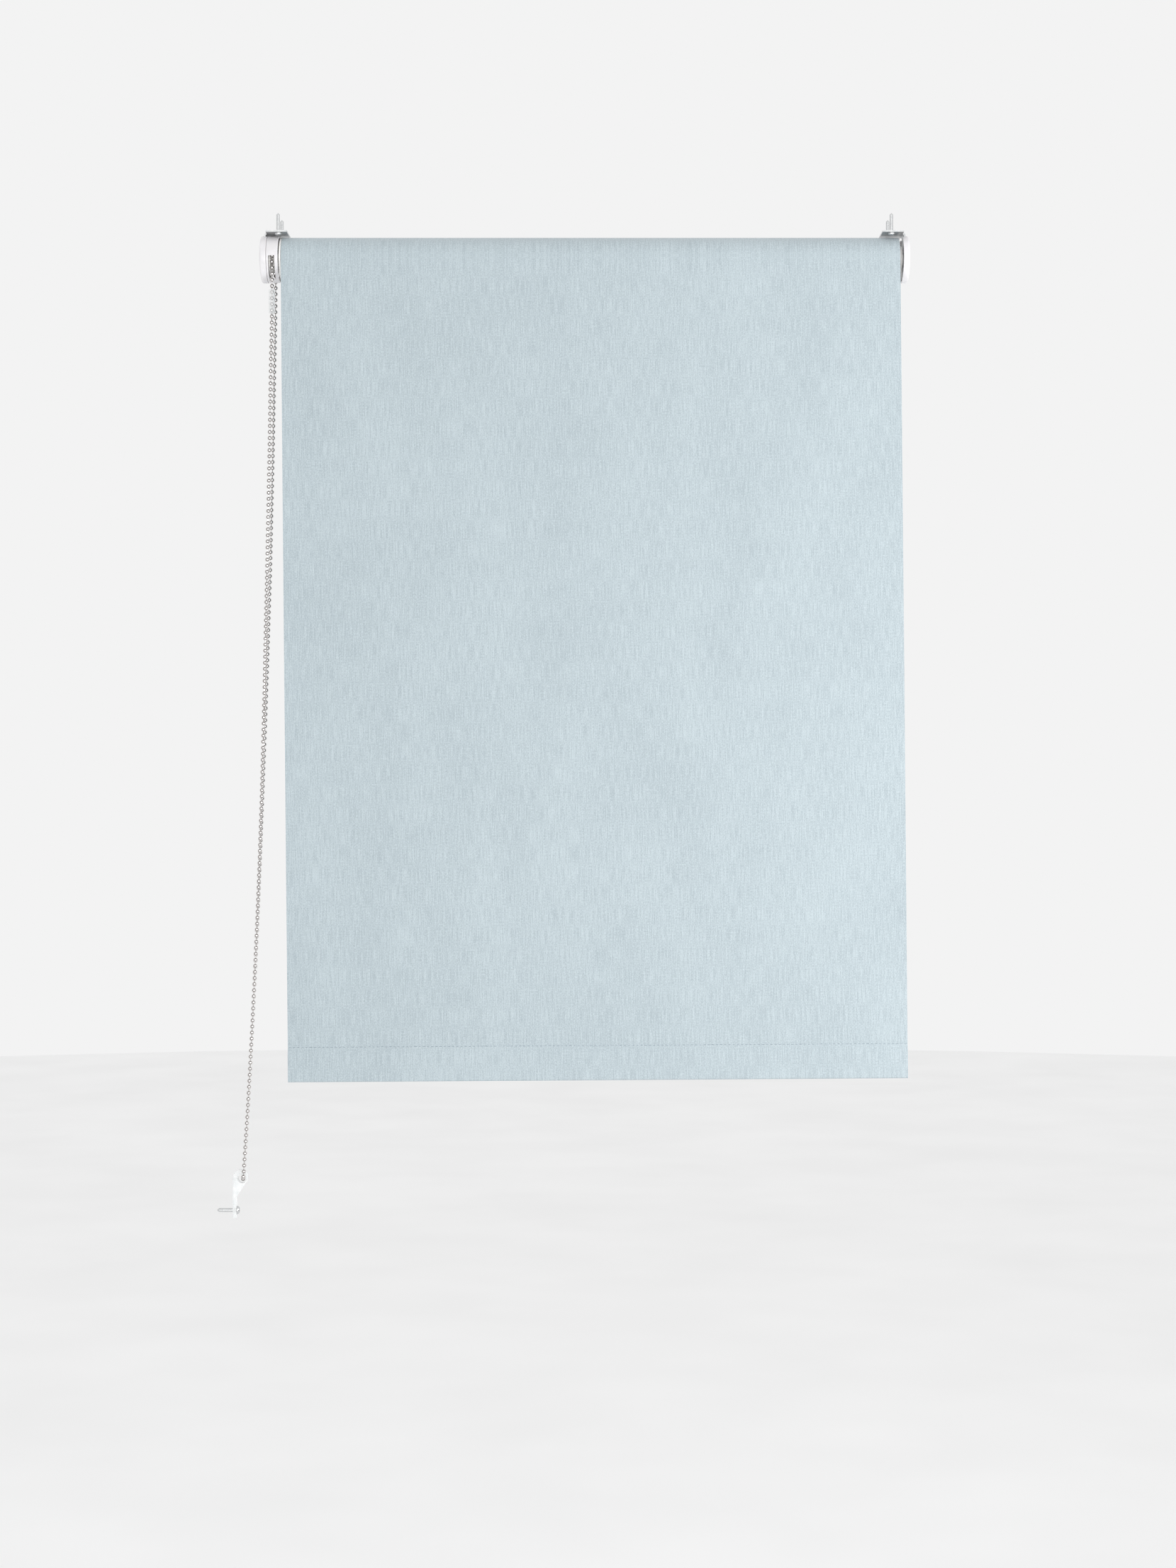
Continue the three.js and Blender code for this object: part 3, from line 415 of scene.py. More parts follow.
def turned(points, steps=96):
    """A closed profile of (x, radius, fillet), spun about the roller's axis."""
    profile = [(p.x, 0, axis_z + p.y) for p in rounded(points)]
    return spun(profile, (0, 0, axis_z), (1, 0, 0), steps)


def prism(outline, push, place):
    """A closed 2D outline as a face, pushed along a vector. place maps (a, b) to 3D."""
    bm = bmesh.new()
    face = bm.faces.new([bm.verts.new(place(p[0], p[1])) for p in outline])
    made = bmesh.ops.extrude_face_region(bm, geom=[face])
    moved = [v for v in made["geom"] if isinstance(v, bmesh.types.BMVert)]
    bmesh.ops.translate(bm, verts=moved, vec=push)
    bmesh.ops.recalc_face_normals(bm, faces=bm.faces)
    return bm


def block(low, high):
    """A box between two corners."""
    low, high = Vector(low), Vector(high)
    bm = bmesh.new()
    bmesh.ops.create_cube(bm, size=1)
    bmesh.ops.scale(bm, vec=high - low, verts=bm.verts)
    bmesh.ops.translate(bm, vec=(low + high) / 2, verts=bm.verts)
    return bm


def rod(start, end, radius, sides=24):
    """A cylinder between two points."""
    start, end = Vector(start), Vector(end)
    along = end - start
    bm = bmesh.new()
    bmesh.ops.create_cone(bm, cap_ends=True, segments=sides, radius1=radius,
                          radius2=radius, depth=along.length,
                          matrix=Matrix.Translation((start + end) / 2) @ facing(along))
    return bm


def as_object(bm):
    """A bmesh as a working object."""
    mesh = bpy.data.meshes.new("working")
    bm.to_mesh(mesh)
    bm.free()
    thing = bpy.data.objects.new("working", mesh)
    bpy.context.scene.collection.objects.link(thing)
    return thing


def discard(thing):
    """Remove a working object and its mesh."""
    mesh = thing.data
    bpy.data.objects.remove(thing)
    bpy.data.meshes.remove(mesh)


def evaluated(thing):
    """The object's mesh with its modifiers applied, as a bmesh."""
    graph = bpy.context.evaluated_depsgraph_get()
    graph.update()
    result = thing.evaluated_get(graph)
    bm = bmesh.new()
    bm.from_mesh(result.to_mesh())
    result.to_mesh_clear()
    return bm


def merged(shapes):
    """Several shapes as one bmesh."""
    whole = bmesh.new()
    for shape in shapes:
        mesh = bpy.data.meshes.new("working")
        shape.to_mesh(mesh)
        shape.free()
        whole.from_mesh(mesh)
        bpy.data.meshes.remove(mesh)
    return whole


def copies(shape, places):
    """The shape once at each of the places, which are matrices."""
    mesh = bpy.data.meshes.new("working")
    shape.to_mesh(mesh)
    shape.free()
    whole = bmesh.new()
    for place in places:
        mesh.transform(place)
        whole.from_mesh(mesh)
        mesh.transform(place.inverted())
    bpy.data.meshes.remove(mesh)
    return whole


def facing(direction):
    """The turn that takes Z to a direction."""
    return direction.to_track_quat("Z", "Y").to_matrix().to_4x4()


def combine(bm, tools, operation):
    """bm joined with, or cut by, tool shapes that don't touch each other."""
    base = as_object(bm)
    other = as_object(merged(tools))
    modifier = base.modifiers.new("join", "BOOLEAN")
    modifier.operation = operation
    modifier.solver = "MANIFOLD"
    modifier.object = other
    bm = evaluated(base)
    discard(base)
    discard(other)
    bmesh.ops.remove_doubles(bm, verts=bm.verts, dist=WELD)
    return bm


def softened(bm, width, segments=3, over=38):
    """Round the edges of bm whose faces meet at more than an angle."""
    edges = [e for e in bm.edges if e.is_manifold and e.calc_face_angle(0) > radians(over)]
    bmesh.ops.bevel(bm, geom=edges, offset=width, offset_type="OFFSET", segments=segments,
                    profile=0.5, affect="EDGES", material=-1, clamp_overlap=True)
    return bm


def flipped(bm):
    """The same shape at the other end of the roller."""
    bmesh.ops.scale(bm, vec=(-1, 1, 1), verts=bm.verts)
    bmesh.ops.recalc_face_normals(bm, faces=bm.faces)
    return bm


# ---- ball chain --------------------------------------------------------------------------------

BALL_RADIUS = 2.25 * MM
BALL_PITCH = 6 * MM
WHEEL_POCKETS = 16
PITCH_RADIUS = WHEEL_POCKETS * BALL_PITCH / tau
LINK_RADIUS = 0.5 * MM
LINK_IN_BALLS = 1.7          # the link's length is short of the pitch by this many ball radii
WHEEL_WIDTH = 7 * MM
LINE_STEP = 1.5 * MM         # between the points of the chain's centreline
BALL_PAST_LOWEST = -1.15 * MM
chain_x = wheel_low.x + WHEEL_WIDTH / 2

# The chain's route, from the middle of the wheel's pitch circle, in millimetres: down the
# front, under the tensioner and up the back.
FRONT_ROUTE = [
    (0, -15.1, -32), (-0.2, -14.83, -56.3), (-1.3, -14.41, -107.6), (-2.4, -13.9, -172),
    (-3.7, -13.36, -239), (-5.1, -12.83, -305), (-6.7, -12.29, -372), (-8.4, -11.69, -447),
    (-10.4, -11.08, -522), (-12.6, -10.55, -588), (-15.2, -10.02, -654), (-18.1, -9.52, -717),
    (-21.3, -9.02, -779), (-24.8, -8.52, -841), (-27.6, -8.15, -884), (-29.0, -8, -905.5),
    (-29.8, -5.66, -911.16), (-30.6, 0, -913.5),
]
BACK_ROUTE = [
    (-30.9, 5.66, -911.16), (-30.9, 8, -905.5), (-29.6, 8.15, -884), (-26.9, 8.52, -841),
    (-23.6, 9.02, -779), (-20.5, 9.52, -717), (-17.6, 10.02, -654), (-14.9, 10.55, -588),
    (-12.4, 11.08, -522), (-9.6, 11.69, -447), (-7.2, 12.29, -372), (-5.2, 12.83, -305),
    (-3.8, 13.36, -239), (-2.4, 13.9, -172), (-1.3, 14.41, -107.6), (-0.2, 14.95, -45),
]


def wheel_arc(start, end, steps=4):
    """Points on the wheel's pitch circle; the angle is from +Y towards +Z."""
    points = []
    for i in range(steps + 1):
        angle = radians(start + (end - start) * i / steps)
        points.append(Vector((0, PITCH_RADIUS * cos(angle), PITCH_RADIUS * sin(angle))))
    return points


def chain_line():
    """The chain's centreline, finely divided, round the loop from the wheel's top."""
    knots = wheel_arc(90, 180)
    knots += [Vector(p) * MM for p in FRONT_ROUTE + BACK_ROUTE]
    knots += wheel_arc(0, 90)
    knots = [k + Vector((chain_x, 0, axis_z)) for k in knots]
    line = []
    for i in range(len(knots) - 1):
        p0 = knots[max(i - 1, 0)]
        p1, p2 = knots[i], knots[i + 1]
        p3 = knots[min(i + 2, len(knots) - 1)]
        d01, d12, d23 = ((b - a).length ** 0.5 or 1e-6 for a, b in ((p0, p1), (p1, p2), (p2, p3)))
        m1 = (p2 - p1) if p0 == p1 else (
            (p1 - p0) / d01 - (p2 - p0) / (d01 + d12) + (p2 - p1) / d12) * d12
        m2 = (p2 - p1) if p2 == p3 else (
            (p2 - p1) / d12 - (p3 - p1) / (d12 + d23) + (p3 - p2) / d23) * d12
        pieces = max(2, ceil((p2 - p1).length / LINE_STEP))
        for k in range(pieces):
            t = k / pieces
            a = 2 * t ** 3 - 3 * t ** 2 + 1
            b = t ** 3 - 2 * t ** 2 + t
            line.append(p1 * a + m1 * b + p2 * (1 - a) + m2 * (t ** 3 - t ** 2))
    line.append(knots[-1])
    return line


def line_length(line):
    """The length of a line of points."""
    return sum((b - a).length for a, b in zip(line, line[1:]))


def stations(line, count):
    """count points spaced evenly along a closed line, each with the line's direction, one
    of them just before its lowest point."""
    step = line_length(line) / count
    lowest = min(range(len(line)), key=lambda i: line[i].z)
    places = []
    target, done = (line_length(line[:lowest + 1]) + BALL_PAST_LOWEST) % step, 0.0
    for a, b in zip(line, line[1:]):
        span = (b - a).length
        while target < done + span - 1e-9 and len(places) < count:
            places.append((a.lerp(b, (target - done) / span), (b - a).normalized()))
            target += step
        done += span
    return places


def ball_chain():
    """The endless chain: hollow balls on short links, and the first ball's angle on the
    wheel."""
    line = chain_line()
    length = line_length(line)
    count = round(length / BALL_PITCH)
    places = stations(line, count)
    ball = bmesh.new()
    bmesh.ops.create_uvsphere(ball, u_segments=14, v_segments=8, radius=BALL_RADIUS)
    link = bmesh.new()
    bmesh.ops.create_cone(link, cap_ends=False, segments=6, radius1=LINK_RADIUS,
                          radius2=LINK_RADIUS, depth=BALL_PITCH - LINK_IN_BALLS * BALL_RADIUS)
    balls, links = [], []
    for i, (here, along) in enumerate(places):
        there = places[(i + 1) % count][0]
        balls.append(Matrix.Translation(here) @ facing(along))
        links.append(Matrix.Translation((here + there) / 2) @ facing(there - here))
    bm = merged([copies(ball, balls), copies(link, links)])
    first = places[0][0]
    chain = finish_piece("ball_chain", bm, NICKEL, "brackets",
                         replaces=["bead_chain"], sharp=radians(60))
    return chain, line, length, atan2(first.z - axis_z, first.y)


def chain_connector():
    """Clear sleeve snapped over the chain's two end balls."""
    middle = (link_low + link_high) / 2
    outer = (link_high.x - link_low.x) / 2
    inner = BALL_RADIUS + 0.1 * MM
    profile = rounded([
        (inner * 0.55, link_low.z, 0), (outer, link_low.z, 1 * MM),
        (outer, link_high.z, 1 * MM), (inner * 0.55, link_high.z, 0),
        (inner, link_high.z - 1.2 * MM, 0.8 * MM), (inner, link_low.z + 1.2 * MM, 0.8 * MM),
    ])
    profile = [(middle.x + p.x, middle.y, p.y) for p in profile]
    bm = spun(profile, (middle.x, middle.y, 0), (0, 0, 1), 40)
    return finish_piece("chain_sleeve", bm, CLEAR_SLEEVE, "brackets",
                        replaces=["chain_connector"])


chain, chain_path, chain_length, first_ball_angle = ball_chain()
sleeve = chain_connector()

# ---- end caps and brackets ---------------------------------------------------------------------

COVER_WALL = 1.4 * MM
NECK_HALF = 9 * MM
FACE_RING_DEPTH = 0.35 * MM
EDGE_DROP = 0.9 * MM         # how far the cover's face falls back at its edge
PEG_OFFSET = 12 * MM
PEG_DROP = 8 * MM
PEG_ROOT = 1.2 * MM
PEG_SHOULDER_RADIUS = 2.6 * MM
PEG_RADIUS = 1.5 * MM
PEG_PAST_PLATE = 1.9 * MM


def end_cover(side):
    """Moulded cap: domed edge, shallow ring on its face, notch for the bracket's neck."""
    name = "idler_cover" if side > 0 else "control_cover"
    radius = (cap_high.y - cap_low.y) / 2
    face, rim = cap_high.x, cap_low.x
    inside = radius - COVER_WALL
    ring = face - FACE_RING_DEPTH
    bm = turned([
        (face, 0, 0), (face, radius * 0.52, 0.5 * MM), (ring, radius * 0.56, 0.5 * MM),
        (ring, radius * 0.86, 2 * MM), (face - EDGE_DROP, radius, 2.4 * MM),
        (rim, radius, 0.35 * MM), (rim, inside, 0.2 * MM),
        (ring - COVER_WALL, inside, 0.8 * MM), (ring - COVER_WALL, 0, 0),
    ], steps=128)
    above = 10 * MM
    notch = block((rim - MM, -NECK_HALF - FIT_GAP, axis_z + radius / 2),
                  (plate_high.x + FIT_GAP, NECK_HALF + FIT_GAP, above))
    bm = combine(bm, [notch], "DIFFERENCE")
    root, peg_z = face - PEG_ROOT, axis_z - PEG_DROP
    for peg_radius, tip in ((PEG_SHOULDER_RADIUS, plate_high.x + FIT_GAP),
                            (PEG_RADIUS, plate_high.x - PEG_PAST_PLATE)):
        pegs = [rod((root, y, peg_z), (tip, y, peg_z), peg_radius)
                for y in (-PEG_OFFSET, PEG_OFFSET)]
        bm = combine(bm, pegs, "UNION")
    if side < 0:
        bm = flipped(bm)
    return finish_piece(name + "_cap", bm, ABS, "brackets", replaces=[name])


for side in (-1, 1):
    end_cover(side)

# ---- clutch housing, crown and idler plug ------------------------------------------------------

HOUSING_WALL = 1.4 * MM
SLOT_WIDTH = 6.4 * MM
SLOT_DEPTH = 8 * MM          # from the axis, towards the room and towards the window
SLOT_CORNER = 0.8 * MM
DRUM_SET_IN = 1.52 * MM      # the drum's rim to its boss's face
DRUM_BOSS_RADIUS = 10 * MM
DRUM_BORE = 6.5 * MM


def clutch_drum():
    """Moulded drum round the chain wheel, with rounded rims and a slot for each strand."""
    radius = (housing_high.y - housing_low.y) / 2
    inside = radius - HOUSING_WALL
    boss, inner_x = housing_low.x, housing_high.x
    outer_x = boss + DRUM_SET_IN
    bm = turned([
        (boss, DRUM_BORE, 0), (boss, DRUM_BOSS_RADIUS, 0.3 * MM),
        (outer_x, DRUM_BOSS_RADIUS, 0.3 * MM), (outer_x, radius, 0.9 * MM),
        (inner_x, radius, 1.1 * MM), (inner_x, inside, 0.25 * MM),
        (outer_x + HOUSING_WALL, inside, 0.5 * MM), (outer_x + HOUSING_WALL, DRUM_BORE, 0),
    ], steps=144)
    far = radius + 2 * MM
    slots = []
    for y in (-far - SLOT_DEPTH, SLOT_DEPTH):
        slot = block((chain_x - SLOT_WIDTH / 2, y, axis_z - far),
                     (chain_x + SLOT_WIDTH / 2, y + far, axis_z))
        corner = [e for e in slot.edges
                  if all(v.co.z > axis_z - SLOT_CORNER for v in e.verts)
                  and abs(e.verts[0].co.x - e.verts[1].co.x) < 1e-6]
        bmesh.ops.bevel(slot, geom=corner, offset=SLOT_CORNER, segments=3, profile=0.5,
                        affect="EDGES", material=-1)
        slots.append(slot)
    bm = combine(bm, slots, "DIFFERENCE")
    return finish_piece("clutch_drum", bm, ABS, "brackets",
                        replaces=["clutch_housing"])


clutch_drum()

TUBE_BORE = tube_radius - 1.2 * MM
RIB_COUNT = 8
RIB_THICKNESS = 1.6 * MM
RIB_ROOT = 0.6 * MM          # how far a rib reaches into its sleeve
SPINDLE_BORE = 5.35 * MM
FINGER_INNER = 6.9 * MM      # the fingers between which the clutch springs' ends sit
FINGER_OUTER = 8.1 * MM
FINGER_SPREAD = 130
CROWN_CORE = 10.4 * MM
CROWN_MOUTH = 8.5 * MM
CROWN_END_WALL = 2 * MM
CROWN_FLANGE = 2 * MM
CROWN_FLANGE_PROUD = 0.5 * MM
WHEEL_HALF_GROOVE = 1.1 * MM
WHEEL_HALF_MOUTH = 2.2 * MM
WHEEL_GROOVE_GAP = 0.35 * MM
POCKET_GAP = 0.25 * MM
PLUG_CORE = 8.4 * MM
PLUG_END_WALL = 2.6 * MM
PLUG_CAP_THICKNESS = 0.6 * MM
PLUG_CAP_RADIUS = 18.8 * MM
PLUG_BOSS_RADIUS = 14 * MM
PLUG_BOSS_LENGTH = 2.7 * MM
PLUG_BOSS_PROUD = 1.2 * MM
PLUG_FRONT_WALL = 6.4 * MM
PIN_BORE = 3.35 * MM
TAIL_BORE = 2.45 * MM
SPRING_BORE = 5.4 * MM


def ribs(core, x0, x1):
    """Ribs between a sleeve and the tube's bore."""
    made = []
    for i in range(RIB_COUNT):
        rib = block((x0, -RIB_THICKNESS / 2, core - RIB_ROOT),
                    (x1, RIB_THICKNESS / 2, TUBE_BORE - FIT_GAP))
        bmesh.ops.rotate(rib, verts=rib.verts, cent=(0, 0, 0),
                         matrix=Matrix.Rotation(tau * (i + 0.5) / RIB_COUNT, 3, "X"))
        bmesh.ops.translate(rib, verts=rib.verts, vec=(0, 0, axis_z))
        made.append(rib)
    return made


def finger(centre, x0, x1):
    """Part of a sleeve about the axis; its centre's angle is from +Y to +Z."""
    steps = 16
    first = centre - FINGER_SPREAD / 2
    angles = [radians(first + FINGER_SPREAD * i / steps) for i in range(steps + 1)]
    outline = [(FINGER_OUTER * cos(a), FINGER_OUTER * sin(a)) for a in angles]
    outline += [(FINGER_INNER * cos(a), FINGER_INNER * sin(a)) for a in reversed(angles)]
    return prism(outline, (x1 - x0, 0, 0), lambda y, z: (x0, y, axis_z + z))


def drive_crown():
    """Nylon crown: flange, ribbed body in the tube, finger that the springs catch."""
    start, end = crown_low.x, crown_high.x
    radius = (crown_high.y - crown_low.y) / 2 + CROWN_FLANGE_PROUD
    flange = start + CROWN_FLANGE
    floor_x = end - CROWN_END_WALL
    bm = turned([
        (start, CROWN_MOUTH, 0.2 * MM), (start, radius, 0.7 * MM),
        (flange, radius, 0.3 * MM), (flange, CROWN_CORE, 0.2 * MM),
        (end, CROWN_CORE, 0.6 * MM), (end, SPINDLE_BORE, 0.2 * MM),
        (floor_x, SPINDLE_BORE, 0), (floor_x, CROWN_MOUTH, 0),
    ])
    keys = ribs(CROWN_CORE, flange - FIT_GAP, end)
    keys.append(finger(270, flange, end - MM))
    bm = combine(bm, keys, "UNION")
    return finish_piece("tube_crown", bm, NYLON, "roller",
                        replaces=["drive_crown"])


def chain_sprocket():
    """Chain wheel: two rims with a pocket for each ball between them, and a drive finger."""
    start = wheel_low.x
    end = start + WHEEL_WIDTH
    hub = crown_low.x - FIT_GAP
    groove = PITCH_RADIUS - BALL_RADIUS - WHEEL_GROOVE_GAP
    rim = (wheel_high.y - wheel_low.y) / 2
    bm = turned([
        (start, SPINDLE_BORE, 0.2 * MM), (start, rim, 0.3 * MM),
        (chain_x - WHEEL_HALF_MOUTH, rim, 0.3 * MM),
        (chain_x - WHEEL_HALF_GROOVE, groove, 0.2 * MM),
        (chain_x + WHEEL_HALF_GROOVE, groove, 0.2 * MM),
        (chain_x + WHEEL_HALF_MOUTH, rim, 0.3 * MM),
        (end, rim, 0.3 * MM), (end, FINGER_OUTER, 0.2 * MM), (hub, FINGER_OUTER, 0.2 * MM),
        (hub, SPINDLE_BORE, 0.2 * MM),
    ])
    pockets = []
    for i in range(WHEEL_POCKETS):
        angle = first_ball_angle + tau * i / WHEEL_POCKETS
        ball = bmesh.new()
        place = (chain_x, PITCH_RADIUS * cos(angle), axis_z + PITCH_RADIUS * sin(angle))
        bmesh.ops.create_uvsphere(ball, u_segments=20, v_segments=12,
                                  radius=BALL_RADIUS + POCKET_GAP,
                                  matrix=Matrix.Translation(place))
        pockets.append(ball)
    bm = combine(bm, pockets, "DIFFERENCE")
    bm = combine(bm, [finger(90, hub - MM, wheel_high.x)], "UNION")
    return finish_piece("chain_sprocket", bm, NYLON, "chain_drive",
                        replaces=["chain_wheel"])


def tube_end_plug():
    """Nylon plug at the idler end, with the round boss that shows beside the cloth."""
    end, boss = plug_low.x, plug_high.x + PLUG_BOSS_PROUD
    cap = boss - PLUG_BOSS_LENGTH
    start = cap - PLUG_CAP_THICKNESS
    back, front = end + PLUG_END_WALL, boss - PLUG_FRONT_WALL
    bm = turned([
        (boss, PIN_BORE, 0.3 * MM), (boss, PLUG_BOSS_RADIUS, 0.7 * MM),
        (cap, PLUG_BOSS_RADIUS, 0.3 * MM), (cap, PLUG_CAP_RADIUS, 0.25 * MM),
        (start, PLUG_CAP_RADIUS, 0.1 * MM), (start, PLUG_CORE, 0.2 * MM),
        (end, PLUG_CORE, 0.6 * MM), (end, TAIL_BORE, 0.2 * MM),
        (back, TAIL_BORE, 0), (back, SPRING_BORE, 0), (front, SPRING_BORE, 0),
        (front, PIN_BORE, 0),
    ])
    bm = combine(bm, ribs(PLUG_CORE, end, start + FIT_GAP), "UNION")
    return finish_piece("tube_end_plug", bm, NYLON, "roller",
                        replaces=["idler_plug"])


SPRING_WIRE = 0.45 * MM      # radius
SPRING_TURNS = 9
CLOSE_PITCH = 2.15 * SPRING_WIRE


def return_spring():
    """Compression spring behind the idler pin: round wire, its end turns wound close."""
    radius = (coil_high.z - coil_low.z) / 2 - SPRING_WIRE
    start, end = coil_low.x + SPRING_WIRE, coil_high.x - SPRING_WIRE
    steps, sides = 28, 10
    across = Vector((1, 0, 0))
    bm = bmesh.new()
    last = None
    for i in range(SPRING_TURNS * steps + 1):
        turn = i / steps
        share = min(1.0, max(0.0, (turn - 1) / (SPRING_TURNS - 2)))
        x = start + CLOSE_PITCH * (min(turn, 1) + max(0, turn - SPRING_TURNS + 1))
        x += (end - start - 2 * CLOSE_PITCH) * share
        out = Vector((0, cos(tau * turn), sin(tau * turn)))
        spot = Vector((x, 0, axis_z)) + out * radius
        ring = []
        for k in range(sides):
            angle = tau * k / sides
            ring.append(bm.verts.new(
                spot + SPRING_WIRE * (cos(angle) * out + sin(angle) * across)))
        if last:
            for k in range(sides):
                bm.faces.new((last[k - 1], last[k], ring[k], ring[k - 1]))
        else:
            bm.faces.new(ring)
        last = ring
    bm.faces.new(last[::-1])
    bmesh.ops.recalc_face_normals(bm, faces=bm.faces)
    return finish_piece("return_spring", bm, WIRE, "roller",
                        replaces=["idler_spring"])


drive_crown()
chain_sprocket()
tube_end_plug()
spring = return_spring()
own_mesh(spring)

# ---- cloth -------------------------------------------------------------------------------------

CLOTH_THICKNESS = 0.34 * MM
cloth_left, cloth_right = drop_low.x, drop_high.x
cloth_width = cloth_right - cloth_left
seam_z = hem_high.z
drop_length = axis_z - seam_z
drop_y = (drop_low.y + drop_high.y) / 2

# The cloth hangs a little out of square: it leans to the right and its right side is
# pulled up a few millimetres, as it tracks on the tube.
LEAN = tan(radians(0.52))
TILT = tan(radians(0.39))


def hang(point):
    """A point of the square cloth, moved to where the crooked cloth hangs."""
    fall = max(0.0, axis_z - point.z)
    share = fall / (axis_z - hem_low.z)
    across = point.x - (cloth_left + cloth_right) / 2
    return Vector((point.x + LEAN * fall, point.y, point.z + TILT * across * share))


def strip(name, route, columns, body, replaces, start=0.0, wave=None, square=False):
    """A strip of cloth as wide as the blind, and its length. route is the (y, z) line it
    follows; its UV map holds metres of cloth, across and along from the tube's tangent
    line."""
    rows = len(route) - 1
    bm = bmesh.new()
    uv = bm.loops.layers.uv.new("cloth")
    made = bmesh.ops.create_grid(bm, x_segments=columns, y_segments=rows, size=0.5)
    along = [0.0]
    for (y0, z0), (y1, z1) in zip(route, route[1:]):
        along.append(along[-1] + hypot(y1 - y0, z1 - z0))
    spot = {}
    for v in made["verts"]:
        column = round((v.co.x + 0.5) * columns)
        row = round((v.co.y + 0.5) * rows)
        spot[v] = (column / columns, row)
    for v, (across, row) in spot.items():
        y, z = route[row]
        place = Vector((cloth_left + (cloth_right - cloth_left) * across, y, z))
        if wave:
            place.y += wave(across, along[row])
        v.co = place if square else hang(place)
    for face in bm.faces:
        for loop in face.loops:
            across, row = spot[loop.vert]
            loop[uv].uv = (cloth_width * across, start + along[row])
    bm.normal_update()
    for v, shift in [(v, v.normal * (CLOTH_THICKNESS / 2)) for v in bm.verts]:
        v.co += shift
    bmesh.ops.solidify(bm, geom=bm.faces[:], thickness=CLOTH_THICKNESS)
    bmesh.ops.recalc_face_normals(bm, faces=bm.faces)
    piece = finish_piece(name, bm, CLOTH, body, replaces, sharp=radians(50))
    return piece, along[-1]


def drop_wave(across, along):
    """The hanging cloth's slight waviness, away from the roll: nothing at the roller and
    the hem."""
    share = min(1.0, max(0.0, along / drop_length))
    hold = sin(pi * share) ** 0.7 if 0 < share < 1 else 0.0
    ripple = 0.35 * sin(tau * (1.6 * across + 0.15)) + 0.2 * sin(tau * (3.7 * across + share))
    curl = 1.1 * (abs(2 * across - 1) ** 8)
    return -MM * hold * (0.55 + ripple + curl)


DROP_ROWS = 72
CLOTH_COLUMNS = 60
INTO_HEM = 3 * MM            # how far the hanging cloth runs down behind the hem's seam
drop_route = [(drop_y, axis_z - (drop_length + INTO_HEM) * i / DROP_ROWS)
              for i in range(DROP_ROWS + 1)]
drop, _ = strip("hanging_cloth", drop_route, CLOTH_COLUMNS, "brackets", ["fabric_drop"],
                wave=drop_wave)

WRAPS = 5
TURN_STEPS = 72
inner_wrap = tube_radius + 0.35 * MM
outer_wrap = -drop_y


def roll_route():
    """The wound cloth, from the tangent line at the front, over the top and inwards."""
    points = []
    steps = WRAPS * TURN_STEPS
    for i in range(steps + 1):
        angle = tau * WRAPS * i / steps
        radius = outer_wrap + (inner_wrap - outer_wrap) * i / steps
        points.append((-radius * cos(angle), axis_z + radius * sin(angle)))
    return points


wound, wound_length = strip("wound_cloth", roll_route(), 4, "roller", ["fabric_roll"],
                            square=True)

lath_mid_y = (lath_low.y + lath_high.y) / 2
lath_half = (lath_high.y - lath_low.y) / 2


HEM_SLACK = 0.35 * MM        # between the lath and the cloth round it
HEM_SHOULDER = 2 * MM        # the cloth leaves the lath this far below its top
HEM_TURN_UP = 5 * MM         # the turned-up edge ends this far above the seam


def slope(start, end, steps=10):
    """Points from start to end that leave and arrive upright."""
    points = []
    for i in range(steps + 1):
        t = i / steps
        ease = t * t * (3 - 2 * t)
        points.append((start[0] + (end[0] - start[0]) * ease,
                       start[1] + (end[1] - start[1]) * t))
    return points


def hem_route():
    """The turned-up hem: down the front of the lath, round it and up its back."""
    bulge = lath_half + HEM_SLACK + CLOTH_THICKNESS / 2
    top, low = lath_high.z - HEM_SHOULDER, lath_low.z
    front, back = lath_mid_y - bulge, lath_mid_y + bulge
    points = slope((drop_y - CLOTH_THICKNESS * 0.3, seam_z), (front, top))
    for i in range(1, 8):
        points.append((front, top + (low + bulge - top) * i / 8))
    for i in range(17):
        angle = pi * i / 16
        points.append((lath_mid_y - bulge * cos(angle),
                       low + lath_half - bulge * sin(angle)))
    for i in range(1, 8):
        points.append((back, low + bulge + (top - low - bulge) * i / 8))
    return points + slope((back, top),
                          (drop_y + CLOTH_THICKNESS * 1.3, seam_z + HEM_TURN_UP))


hem, hem_length = strip("hem_cloth", hem_route(), CLOTH_COLUMNS, "hem", ["hem_pocket"],
                        start=drop_length)

STITCH_PITCH = 4.1 * MM
STITCH_LENGTH = 3.3 * MM
THREAD_RADIUS = 0.2 * MM
STITCH_BELOW_SEAM = 1.2 * MM
SEWING_SEED = 7


